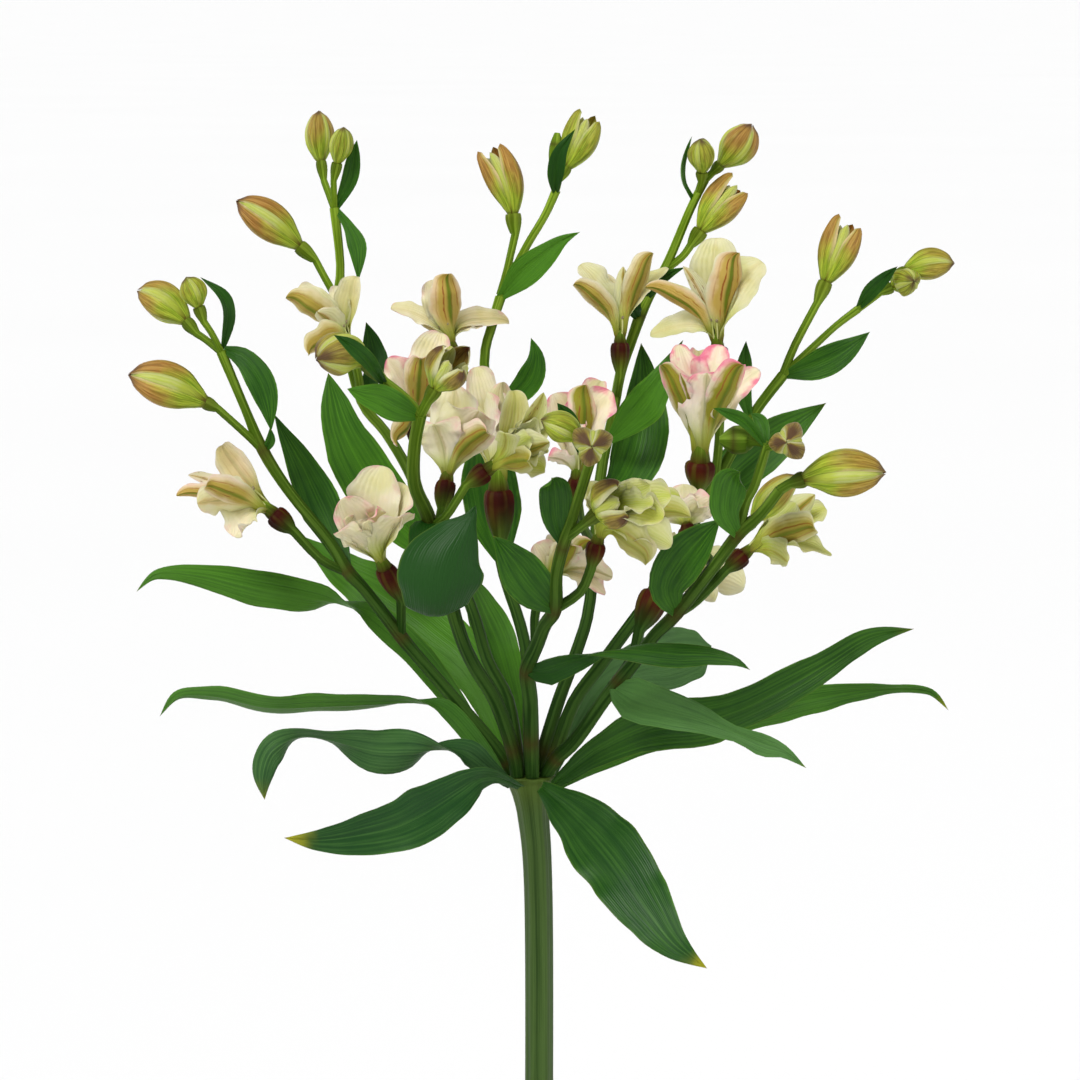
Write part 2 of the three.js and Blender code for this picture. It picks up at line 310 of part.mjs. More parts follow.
// Closed buds: `ovary` is its top, then the bud's tip [right, up, toward] and its radius.
const BUDS = {
  left_1: { ray: 'left', pedicel: [[-89, 108, 18, 1.3], [-94, 113, 20, 1.2], [-104, 122, 23, 1.2]],
    ovary: [-108.5, 124.3, 24, 2.6], tip: [-134, 133.5, 30], radius: 7.4 },
  left_2: { ray: 'left', pedicel: [[-103, 141, 20, 1.2], [-108, 145, 18, 1.1], [-111, 147, 17, 1.2]],
    ovary: [-114.5, 151, 15, 2.6], tip: [-131, 161.5, 10], radius: 6 },
  left_3: { ray: 'left', pedicel: [[-103, 141, 20, 1.1], [-106, 147, 22, 1], [-108.7, 151, 23, 1.1]],
    ovary: [-110.5, 156, 24, 2.4], tip: [-114.7, 166, 26], radius: 4.2 },
  upper_left_1: { ray: 'upperLeft',
    pedicel: [[-64, 158, -50, 1.3], [-68, 165, -50, 1.2], [-71.5, 171.5, -50, 1.2]],
    ovary: [-77, 176.3, -49, 3], tip: [-98, 191.5, -44], radius: 6.6 },
  upper_left_2: { ray: 'upperLeft', pedicel: [[-65.3, 189, -50, 1.2], [-68.7, 198, -54, 1.1]],
    ovary: [-69.7, 204.5, -55, 2.2], tip: [-70.3, 221.5, -56], radius: 4.9 },
  upper_left_3: { ray: 'upperLeft', pedicel: [[-65.3, 189, -50, 1.1], [-65.5, 198, -46, 1]],
    ovary: [-64.3, 204, -44, 2.2], tip: [-62, 216, -41], radius: 3.9 },
  front_left: { ray: 'frontLeft',
    pedicel: [[-36.7, 120, 94, 1.5], [-41.7, 125.7, 96, 1.4], [-48.3, 131, 98, 1.4]],
    ovary: [-55, 137.3, 100, 2.8], tip: [-71.5, 138.5, 108], radius: 6.6 },
  front_middle: { ray: 'frontMiddle', pedicel: [[20, 104.3, 110, 1.2], [18.5, 108, 112, 1.1]],
    ovary: [16, 111.7, 113, 2.2], tip: [3.5, 118.3, 117], radius: 4.5 },
  front_facing: { ray: 'frontMiddle', pedicel: [[20, 104.3, 110, 1.3], [20.2, 106.3, 112, 1.4]],
    ovary: [20.3, 108.3, 116, 3], tip: [20.5, 109.5, 130], radius: 6 },
  right_1: { ray: 'upperRight', pedicel: [[58.3, 198.3, -46, 1.2], [60.5, 200.5, -46, 1.2]],
    ovary: [63.5, 203.5, -45, 2.4], tip: [74, 217, -41], radius: 6 },
  right_2: { ray: 'upperRight', pedicel: [[56, 194, -46, 1.2], [57, 197.5, -43, 1.1]],
    ovary: [57.3, 201, -41, 2.4], tip: [56.5, 212, -34], radius: 4.3 },
  far_1: { ray: 'right', pedicel: [[109.3, 155.3, -35, 1.2], [116.7, 160.7, -35, 1.1]],
    ovary: [120.5, 162.7, -35, 2.4], tip: [128, 164.5, -25], radius: 4.5 },
  far_2: { ray: 'right', pedicel: [[110, 156, -35, 1.1], [117.5, 164, -40, 1], [121, 166.5, -41, 1]],
    ovary: [125, 168, -42, 2.2], tip: [141.5, 170.5, -41], radius: 5.2 },
  low_right_1: { ray: 'frontRight', pedicel: [[83.3, 95, 84, 1.5], [86.5, 97, 85.5, 1.5]],
    ovary: [91.5, 98.7, 87, 3], tip: [118.7, 100.7, 92], radius: 7.4 },
  low_right_2: { ray: 'frontRight', pedicel: [[79, 109, 90, 1.2], [82, 110, 92, 1.2]],
    ovary: [84, 110.5, 95, 2.6], tip: [85.5, 111, 109], radius: 5.6 },
  low_right_3: { ray: 'frontRight', pedicel: [[67, 77, 73, 1.3], [71, 81, 66, 1.2]],
    ovary: [74.5, 85, 63, 2.4], tip: [89, 100, 63], radius: 4.6 },
};

const material = (color, roughness) => new THREE.MeshStandardMaterial({ color, roughness, metalness: 0 });
const MATERIALS = {
  clay: material('#b0663f', 0.85),
  soil: material('#3a2a1e', 1),
  stem: material('#5c7a3c', 0.55),
  leaf: material('#2f6b1f', 0.5),
  stalk: material('#4f7a2c', 0.55),
  petal: material('#ece4c0', 0.55),
  bud: material('#9aa23c', 0.5),
};

// Catmull-Rom through rows of numbers, with s from 0 at the first row to 1 at the last.
function along(rows, s) {
  const last = rows.length - 1;
  const i = Math.min(Math.floor(s * last), last - 1);
  const f = s * last - i;
  const [a, b, c, d] = [i - 1, i, i + 1, i + 2].map((k) => rows[THREE.MathUtils.clamp(k, 0, last)]);
  const blend = (v, k) => v + 0.5 * f * (c[k] - a[k] + f * (2 * a[k] - 5 * v + 4 * c[k] - d[k]
    + f * (3 * v - a[k] - 3 * c[k] + d[k])));
  return b.map(blend);
}

// Closes a row of rings, each with the same number of points, into one solid. From the column `fold`
// on the diagonals turn the other way, so that the two faces of a thin blade are split alike.
function skin(rings, first, last, fold = Infinity) {
  const count = rings[0].length;
  const points = [...rings.flat(), first, last];
  const faces = [];
  for (let k = 0; k < rings.length - 1; k += 1) {
    for (let j = 0; j < count; j += 1) {
      const [a, b] = [k * count + j, k * count + (j + 1) % count];
      const [c, d] = [a + count, b + count];
      faces.push(...(j < fold ? [[a, b, d], [a, d, c]] : [[a, b, c], [b, d, c]]));
    }
  }
  for (let j = 0; j < count; j += 1) {
    const next = (j + 1) % count;
    const end = (rings.length - 1) * count;
    faces.push([next, j, points.length - 2], [end + j, end + next, points.length - 1]);
  }
  return solidFrom(points, faces);
}

// The volume inside a closed surface, negative where its triangles face inwards.
function volumeOf(points, faces) {
  return faces.reduce((sum, [a, b, c]) => sum
    + points[a].dot(new THREE.Vector3().crossVectors(points[b], points[c])) / 6, 0);
}

// A solid of points and triangles, turned right side out.
function solidFrom(points, faces) {
  const outward = volumeOf(points, faces) > 0 ? faces : faces.map(([a, b, c]) => [a, c, b]);
  return new wasm.Manifold(new wasm.Mesh({
    numProp: 3,
    vertProperties: new Float32Array(points.flatMap((p) => p.toArray())),
    triVerts: new Uint32Array(outward.flat()),
  }));
}

function solidOf(geometry) {
  const bare = geometry.clone();
  bare.deleteAttribute('normal');
  bare.deleteAttribute('uv');
  const merged = mergeVertices(bare, 1e-4);
  return new wasm.Manifold(new wasm.Mesh({
    numProp: 3,
    vertProperties: Float32Array.from(merged.attributes.position.array),
    triVerts: Uint32Array.from(merged.index.array),
  }));
}

function meshOf(name, solid, slot) {
  const { numProp, vertProperties, triVerts } = solid.getMesh();
  const positions = new Float32Array(vertProperties.length / numProp * 3);
  for (let v = 0; v < positions.length / 3; v += 1) {
    positions.set(vertProperties.subarray(v * numProp, v * numProp + 3), v * 3);
  }
  const geometry = new THREE.BufferGeometry();
  geometry.setAttribute('position', new THREE.BufferAttribute(positions, 3));
  geometry.setIndex(new THREE.BufferAttribute(Uint32Array.from(triVerts), 1));
  geometry.computeVertexNormals();
  const mesh = new THREE.Mesh(geometry, MATERIALS[slot]);
  mesh.name = name;
  return mesh;
}

// The closed shells of a surface, each as its list of triangles, with the signed volume it encloses.
function shellsOf(points, faces) {
  const owner = points.map((_, k) => k);
  const find = (k) => {
    let root = k;
    while (owner[root] !== root) root = owner[root];
    owner[k] = root;
    return root;
  };
  faces.forEach(([a, b, c]) => {
    owner[find(a)] = find(b);
    owner[find(b)] = find(c);
  });
  const shells = new Map();
  faces.forEach((face) => {
    const root = find(face[0]);
    shells.set(root, [...(shells.get(root) ?? []), face]);
  });
  return [...shells.values()].map((own) => ({ own, volume: volumeOf(points, own) }));
}

// One body of several: what they seal between them is filled, and none of them may come loose.
function joined(solids) {
  const { numProp, vertProperties, triVerts } = solids.reduce((sum, next) => sum.add(next)).getMesh();
  const points = Array.from({ length: vertProperties.length / numProp }, (_, k) => (
    new THREE.Vector3().fromArray(vertProperties, k * numProp)));
  const faces = Array.from({ length: triVerts.length / 3 }, (_, k) => (
    [...triVerts.subarray(k * 3, k * 3 + 3)]));
  const [body, ...rest] = shellsOf(points, faces).sort((a, b) => b.volume - a.volume);
  if (rest.some(({ volume }) => volume > LARGEST_SCRAP)) throw new Error('a piece came loose');
  const used = [...new Set(body.own.flat())];
  const place = new Map(used.map((k, index) => [k, index]));
  return solidFrom(used.map((k) => points[k]), body.own.map((face) => face.map((k) => place.get(k))));
}

// Unit directions along a row of points.
function tangentsOf(points) {
  return points.map((_, k) => new THREE.Vector3()
    .subVectors(points[Math.min(k + 1, points.length - 1)], points[Math.max(k - 1, 0)])
    .normalize());
}

// A round body along points with a radius at each. `shape` may swell it by angle and place.
function roundBody(points, radii, sides, shape = () => 1, start = null) {
  const tangents = tangentsOf(points);
  if (start) tangents[0] = start;
  let side = new THREE.Vector3().crossVectors(tangents[0], TOWARD).normalize();
  const rings = points.map((centre, k) => {
    side = side.clone().addScaledVector(tangents[k], -side.dot(tangents[k])).normalize();
    const other = new THREE.Vector3().crossVectors(tangents[k], side);
    return Array.from({ length: sides }, (_, j) => {
      const angle = j / sides * 2 * Math.PI;
      const reach = radii[k] * shape(angle, k / (points.length - 1));
      return centre.clone()
        .addScaledVector(side, reach * Math.cos(angle))
        .addScaledVector(other, reach * Math.sin(angle));
    });
  });
  return skin(rings, points[0], points[points.length - 1]);
}

const stalk = (rows, sides) => roundBody(rows.map(seen), rows.map((row) => row[3]), sides);

// A ray's main stalk stands upright on the flat top of the stem.
function mainStalk(rows) {
  const points = rows.map(seen);
  points[0].z = WHORL.z + GAP;
  return roundBody(points, rows.map((row) => row[3]), 5, () => 1, new THREE.Vector3(0, 0, 1));
}

// A thin blade along stations { centre, side, normal, half }. It is thickest on the midrib and closes
// to an edge, its sides are raised towards the normal by `cup`, and its edges wave by `wave`.
function blade(stations, columns, { thick, cup, wave = 0 }) {
  const ringOf = ({ centre, side, normal, half }, k) => {
    const across = (x, face) => {
      const lift = cup * half * x * x + wave * half * Math.abs(x) * Math.sin(k * 2.1 + (x > 0 ? 1.9 : 0));
      const body = face * 0.5 * thick * Math.sqrt(1 - x * x) * Math.min(1, half / thick);
      return centre.clone()
        .addScaledVector(side, half * x)
        .addScaledVector(normal, lift + body);
    };
    const places = Array.from({ length: columns + 1 }, (_, j) => j / columns * 2 - 1);
    const top = places.map((x) => across(x, 1));
    const under = places.slice(1, -1).reverse().map((x) => across(x, -1));
    return [...top, ...under];
  };
  const body = stations.slice(0, -1);
  return skin(body.map(ringOf), stations[0].centre, stations[stations.length - 1].centre, columns);
}

// Stations of a leaf from its rows. A level leaf lies across the view, the others start facing it.
function leafStations(rows, steps, level = false) {
  const samples = Array.from({ length: steps + 1 }, (_, k) => along(rows, k / steps));
  const centres = samples.map(seen);
  const tangents = tangentsOf(centres);
  return samples.map(([, , , half, roll], k) => {
    const flat = level
      ? RIGHT.clone().addScaledVector(tangents[k], -RIGHT.dot(tangents[k]))
      : new THREE.Vector3().crossVectors(tangents[k], TOWARD);
    const side = flat.normalize().applyAxisAngle(tangents[k], THREE.MathUtils.degToRad(roll));
    const normal = new THREE.Vector3().crossVectors(side, tangents[k]);
    return { centre: centres[k], side, normal, half: Math.max(half, 0.3) };
  });
}

const whorlLeaf = (rows) => blade(leafStations(rows, 9), 4, { thick: THICK.leaf, cup: 0.18, wave: 0.1 });
const bract = (rows, level) => blade(
  leafStations(rows, 4, level),
  level ? 4 : 2,
  { thick: THICK.leaf, cup: level ? 0.3 : 0.25 },
);

// How wide a petal is at four shares of its length: a narrow claw, then a broad rounded blade.
const PETAL_AT = [0, 0.36, 0.74, 1];
const PETAL_WIDTH = [
  [0.16, 0.56, 1, 0],
  [0.16, 0.5, 0.9, 0],
  [0.16, 0.56, 1.04, 0],
];
const PETAL_ROOT = [0.52, 0.2, 0.34]; // how far from the axis each kind starts, as a share of the ovary

// A petal bends from the flower's axis out to its tip, broadside to the axis.
function petal({ seat, axis, radius }, [right, up, toward, half, kind]) {
  const tip = seen([right, up, toward]);
  const span = new THREE.Vector3().subVectors(tip, seat);
  const length = span.length();
  const out = span.clone().addScaledVector(axis, -span.dot(axis)).normalize();
  const side = new THREE.Vector3().crossVectors(axis, out);
  const offset = PETAL_ROOT[kind] * radius;
  const root = seat.clone().addScaledVector(out, offset);
  const curve = new THREE.QuadraticBezierCurve3(
    root,
    seat.clone().addScaledVector(axis, length * 0.5).addScaledVector(out, offset + 1),
    tip,
  );
  const centres = PETAL_AT.map((share) => curve.getPoint(share));
  const tangents = tangentsOf(centres);
  const stations = centres.map((centre, k) => ({
    centre,
    side,
    normal: new THREE.Vector3().crossVectors(tangents[k], side),
    half: Math.max(half * PETAL_WIDTH[kind][k], 0.3),
  }));
  return blade(stations, 2, { thick: THICK.petal, cup: 0.35 });
}

// Where an ovary begins and ends, and which way it points.
function ovaryOf({ pedicel, ovary }) {
  const foot = seen(pedicel[pedicel.length - 1]);
  const top = seen(ovary);
  return { foot, top, axis: new THREE.Vector3().subVectors(top, foot).normalize(), radius: ovary[3] };
}

// A pedicel that ends in its ovary: the ovary swells above the last row and is cut flat on top.
const OVARY_SWELL = [0.95, 0.85];

function pedicelBody(flower) {
  const { foot, top, radius } = ovaryOf(flower);
  const shares = OVARY_SWELL.map((_, k) => (k + 1) / OVARY_SWELL.length);
  const points = [...flower.pedicel.map(seen), ...shares.map((share) => foot.clone().lerp(top, share))];
  const radii = [...flower.pedicel.map((row) => row[3]), ...OVARY_SWELL.map((swell) => swell * radius)];
  return roundBody(points, radii, 4);
}

// The throat, where the claws of all petals stand close together: [rise, radius] in ovary radii.
const THROAT = [[0, 0.78], [1.6, 0.86], [2.2, 0.5]];

function flowerBody(flower) {
  const { top, axis, radius } = ovaryOf(flower);
  const seat = top.clone().addScaledVector(axis, GAP);
  const cup = THROAT.map(([rise]) => seat.clone().addScaledVector(axis, rise * radius));
  const core = roundBody(cup, THROAT.map(([, swell]) => swell * radius), 6);
  const cupped = { seat: seat.clone().addScaledVector(axis, 0.6), axis, radius };
  const broad = flower.petals.filter(([, , , , kind]) => kind !== 1);
  return joined([core, ...broad.map((row) => petal(cupped, row))]);
}

const BUD_SWELL = [0.34, 0.76, 1, 0.96, 0.62, 0.14];

function budBody(bud) {
  const { top, axis } = ovaryOf(bud);
  const base = top.clone().addScaledVector(axis, GAP);
  const end = seen(bud.tip);
  const last = BUD_SWELL.length - 1;
  const bend = base.clone().addScaledVector(axis, base.distanceTo(end) * 0.5);
  const points = new THREE.QuadraticBezierCurve3(base, bend, end).getPoints(last);
  const lobes = (angle) => 1 + 0.06 * Math.cos(3 * angle);
  return roundBody(points, BUD_SWELL.map((swell) => swell * bud.radius), 6, lobes);
}

function rayBody(name) {
  const { stalks, leaves, level = [] } = RAYS[name];
  const [main, ...others] = stalks;
  const carried = [...Object.values(FLOWERS), ...Object.values(BUDS)].filter(({ ray }) => ray === name);
  return joined([
    mainStalk(main),
    ...others.map((rows) => stalk(rows, 4)),
    ...carried.map(pedicelBody),
    ...leaves.map((rows) => bract(rows, false)),
    ...level.map((rows) => bract(rows, true)),
  ]);
}

// The pot is turned from one profile, with small drain holes round the solid middle of its floor.
function pot() {
  const { top, base, height, wall, rimHeight, rimOut, floor } = POT;
  const waist = top - rimOut;
  const profile = [[0, 0], [base - 2, 0], [base, 2], [waist - 3, height - rimHeight],
    [top, height - rimHeight], [top, height - 2], [top - 2, height], [waist - wall + 1, height],
    [waist - wall - 3, height - rimHeight], [base - wall, floor], [0, floor]];
  const lathe = new THREE.LatheGeometry(profile.map(([x, y]) => new THREE.Vector2(x, y)), SOIL.sectors);
  const turned = solidOf(lathe.rotateX(Math.PI / 2));
  const drains = Array.from({ length: DRAIN.count }, (_, k) => {
    const angle = (k + 0.5) / DRAIN.count * 2 * Math.PI;
    const hole = new THREE.CylinderGeometry(DRAIN.radius, DRAIN.radius, floor * 3, 8);
    hole.rotateX(Math.PI / 2);
    hole.translate(DRAIN.ring * Math.cos(angle), DRAIN.ring * Math.sin(angle), 0);
    return solidOf(hole);
  });
  return drains.reduce((rest, hole) => rest.subtract(hole), turned);
}

// A repeatable draw between 0 and 1.
function drawer(seed) {
  let state = seed;
  return () => {
    state = (state * 16807) % 2147483647;
    return state / 2147483647;
  };
}

// The soil fills the pot to below its rim. Its top is crumbly and the stem stands in a plain hole.
function soil(stemHole) {
  const draw = drawer(SOIL.seed);
  const { height, wall, rimHeight, rimOut, floor, base, top } = POT;
  const slope = (top - rimOut - wall - 3 - (base - wall)) / (height - rimHeight - floor);
  const insideAt = (z) => base - wall - SOIL.clear + slope * (Math.min(z, height - rimHeight) - floor);
  const rim = insideAt(SOIL.top);
  const ring = (radius, heightOf) => Array.from({ length: SOIL.sectors }, (_, j) => {
    const angle = j / SOIL.sectors * 2 * Math.PI;
    return new THREE.Vector3(radius * Math.cos(angle), radius * Math.sin(angle), heightOf());
  });
  const rings = [
    ring(insideAt(SOIL.underside), () => SOIL.underside),
    ring(insideAt(height - rimHeight), () => height - rimHeight),
    ring(rim, () => SOIL.top),
  ];
  for (let k = 1; k < SOIL.rings; k += 1) {
    const radius = rim * (1 - k / SOIL.rings);
    rings.push(ring(radius, () => SOIL.top + (draw() - 0.5) * 2 * SOIL.relief));
  }
  const low = new THREE.Vector3(0, 0, SOIL.underside);
  const body = skin(rings, low, new THREE.Vector3(0, 0, SOIL.top));
  return body.subtract(stemHole);
}

// The stem: round, faintly ridged, leaning a little to the whorl, with a swollen flat-topped collar.
function stemRows(clearance) {
  const topZ = WHORL.z;
  return [
    [0, SOIL.top - STEM.foot, STEM.radius],
    [0, SOIL.top + 20, STEM.radius],
    [0, topZ - 60, STEM.radius],
    [-0.6, topZ - 30, STEM.radius * 1.02],
    [-1.9, topZ - 14, STEM.radius * 1.12],
    [-2.6, topZ - 7, STEM.radius * 1.3],
    [WHORL.x, topZ - 3, STEM.collar * 0.84],
    [WHORL.x, topZ, STEM.collar],
  ].map(([x, z, radius]) => ({ centre: new THREE.Vector3(x, 0, z), radius: radius + clearance }));
}

function stem() {
  const rows = stemRows(0);
  const ridged = (angle) => 1 + STEM.ridge / STEM.radius * Math.cos(6 * angle);
  return roundBody(rows.map((row) => row.centre), rows.map((row) => row.radius), STEM.sides, ridged);
}

function stemHole() {
  const rows = stemRows(GAP + STEM.ridge).slice(0, 2);
  rows[0].centre.z -= GAP;
  return roundBody(rows.map((row) => row.centre), rows.map((row) => row.radius), STEM.sides);
}

const lily = new THREE.Group();
lily.add(meshOf('pot', pot(), 'clay'));
lily.add(meshOf('soil', soil(stemHole()), 'soil'));
lily.add(meshOf('stem', stem(), 'stem'));
WHORL_LEAVES.forEach((rows, k) => lily.add(meshOf(`leaf_${k + 1}`, whorlLeaf(rows), 'leaf')));
Object.keys(RAYS).forEach((name) => lily.add(meshOf(`ray_${name}`, rayBody(name), 'stalk')));
Object.entries(FLOWERS).forEach(([name, flower]) => lily.add(
  meshOf(`flower_${name}`, flowerBody(flower), 'petal'),
));
Object.entries(BUDS).forEach(([name, bud]) => lily.add(meshOf(`bud_${name}`, budBody(bud), 'bud')));

export default lily;
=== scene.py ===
# %% [markdown]
# # A potted Peruvian lily
# The real plant is one flowering stem: a whorl of twisted, strap-shaped leaves, and above it an umbel of
# forked stalks that carry striped, half-open blooms and buds. This lesson dresses the imported solids of
# that plant. Each solid gives way to a finer piece in the same place, and each finish is made of nodes.
# We start by loading the solids as a frame.

# %% The imported solids
import math
import random

import bmesh
import bpy
from mathutils import Matrix, Vector


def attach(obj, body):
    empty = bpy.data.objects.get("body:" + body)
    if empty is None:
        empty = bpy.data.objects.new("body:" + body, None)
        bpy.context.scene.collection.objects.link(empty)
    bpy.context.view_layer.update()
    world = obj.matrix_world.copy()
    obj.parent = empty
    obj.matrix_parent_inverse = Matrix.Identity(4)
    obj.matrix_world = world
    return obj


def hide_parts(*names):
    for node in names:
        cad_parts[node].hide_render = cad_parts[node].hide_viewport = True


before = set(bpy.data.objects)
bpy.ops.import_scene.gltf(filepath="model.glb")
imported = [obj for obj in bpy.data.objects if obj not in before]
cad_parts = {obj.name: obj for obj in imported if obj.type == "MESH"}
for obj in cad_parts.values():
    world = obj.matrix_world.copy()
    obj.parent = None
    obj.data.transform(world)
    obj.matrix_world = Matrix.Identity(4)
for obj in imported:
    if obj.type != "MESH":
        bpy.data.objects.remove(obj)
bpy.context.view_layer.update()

# %% [markdown]
# ## Where things are
# The plant was measured as an eye sees it from the front and slightly above. So every point of the layout
# is [right, up, toward] in millimetres from the whorl, the place where the leaves and stalks begin.
# "Toward" is the distance by which a point comes nearer to that eye. One function turns such a row into a
# place in space. The pieces are made in millimetres and turned into metres when they are handed over.

# %% From a seen point to a place in space
MM = 0.001
WHORL = Vector((-3, 0, 330))
# How far off the eye is, how far it tilts down, and the point at which it looks
EYE_DISTANCE, EYE_TILT, EYE_RIGHT, EYE_UP = 1300, math.radians(8), 3.3, 78.3
RIGHT = Vector((1, 0, 0))
UP = Vector((0, math.sin(EYE_TILT), math.cos(EYE_TILT)))
TOWARD = Vector((0, -math.cos(EYE_TILT), math.sin(EYE_TILT)))
GAP = 0.3  # the small step between two pieces that meet


def seen(row):
    """The place of a point that is laid out as [right, up, toward]."""
    right, up, toward = row[:3]
    shrink = (EYE_DISTANCE - toward) / EYE_DISTANCE
    return (WHORL + RIGHT * (EYE_RIGHT + (right - EYE_RIGHT) * shrink)
            + UP * (EYE_UP + (up - EYE_UP) * shrink) + TOWARD * toward)


print("whorl at", seen([0, 0, 0]))

# %% [markdown]
# ## The layout
# These rows are the plant's own measurements. A leaf row is [right, up, toward, half width, roll in
# degrees], a stalk row ends with its radius, and a petal row describes its tip. The leaves of the whorl
# come first, then the stalks with their bracts, then the flowers, and last the closed buds.

# %% The ten leaves of the whorl
WHORL_LEAVES = [
  [[-8.2, -3, -2, 1.6, -60], [-18, 14, -10, 3, -20], [-33, 35, -15, 4.5, 0], [-48, 50, -16, 5, 10],
    [-61.5, 57, -14, 4.2, 90], [-75, 59.5, -10, 5.6, 170], [-92, 62.5, -6, 6, 180],
    [-110, 66.5, -2, 3.8, 190], [-124, 67, 1, 1.8, 195], [-131.3, 61, 2, 0, 200]],
  [[-8, -3, 2.4, 1.6, -30], [-15.5, 8, 6.5, 3, -10], [-27, 21, 9, 3.2, 20], [-37, 24.5, 11, 3, 90],
    [-52, 24, 12, 4.2, 125], [-70, 23.3, 13, 4.8, 130], [-88, 23, 14, 5, 128],
    [-104, 26.5, 14, 4, 130], [-117, 26.5, 12, 2, 140], [-123.5, 19.5, 9, 0, 150]],
  [[-6.2, -3.5, 5.6, 1.6, -20], [-14, 2.5, 12, 3.2, 0], [-21, 7.5, 17, 4.5, 20], [-30, 9, 22, 3.8, 90],
    [-40, 8, 27, 6.8, 165], [-52, 8, 32, 7, 180], [-65, 11.8, 36, 4.4, 125], [-77, 13.3, 38, 4, 115],
    [-86, 8, 40, 4.6, 170], [-89, 0, 40, 3.4, 180], [-88.5, -8.3, 38, 0, 180]],
  [[-3, -4, 7.8, 1.8, -50], [-10, -1, 15, 2.4, -30], [-16.5, -1, 20, 4, -20], [-23.5, -5.5, 25, 6.4, 0],
    [-33.5, -12, 31, 8.8, 5], [-44, -17.3, 36, 8.4, 10], [-57, -20.3, 41, 6.4, 5],
    [-70, -21.8, 45, 3.7, 0], [-82, -21, 47, 0, 0]],
  [[-5.8, -3, -6, 1.6, 0], [-10.5, 16, -21, 4, 0], [-20, 36, -32, 8, 0], [-33, 48, -41, 10.5, 0],
    [-48, 59, -49, 10, 0], [-63, 69, -55, 6, 0], [-77, 80, -59, 0, 0]],
  [[0, -3, -7.7, 1.6, 0], [-3, 14, -23, 3.5, 0], [-7, 30, -36, 6, 0], [-11, 44, -48, 7, 0],
    [-16, 56, -57, 5.5, 0], [-21, 68, -63, 0, 0]],
  [[7.9, -3.5, 2.6, 1.6, 0], [14.5, 2, 5, 3.2, 0], [24, 8.6, 9, 5, 0], [40, 15.7, 16, 7.6, 0],
    [56.7, 17.7, 20, 8.2, 0], [70, 21.7, 21, 6.4, 0], [86.7, 30, 21, 6, 0], [100, 37.7, 20, 4.5, 0],
    [113.3, 45.7, 18, 3.3, 0], [128, 48.7, 16, 0, 0]],
  [[7.8, -4, -2.8, 1.6, 0], [24, 5, -10, 3.5, 0], [42, 13, -14, 5, 0], [60, 17, -17, 5.5, 0],
    [77, 21, -19, 5.2, 0], [92, 24.7, -20, 5, 0], [107, 27.5, -20, 3.6, 20], [121, 29, -19, 2.6, 50],
    [133, 28, -17, 1.6, 40], [139.5, 21.5, -15, 0, 0]],
  [[5.2, -3, -6.6, 1.6, 0], [15, 16.5, -20, 3.5, 0], [24, 30, -30, 5.5, 0], [35, 36, -40, 8, 0],
    [46, 38.7, -50, 10.5, 0], [55, 41, -57, 8, 0], [60.5, 43, -61, 0, 0]],
  [[3.6, -4, 7.6, 2, 0], [12, -11, 20, 6.5, 0], [22, -21, 32, 11, 0], [31, -32.5, 43, 11.2, 0],
    [39.5, -45.5, 52, 9, 0], [48, -56.5, 58, 5, 0], [59, -64.5, 62, 0, 0]],
]

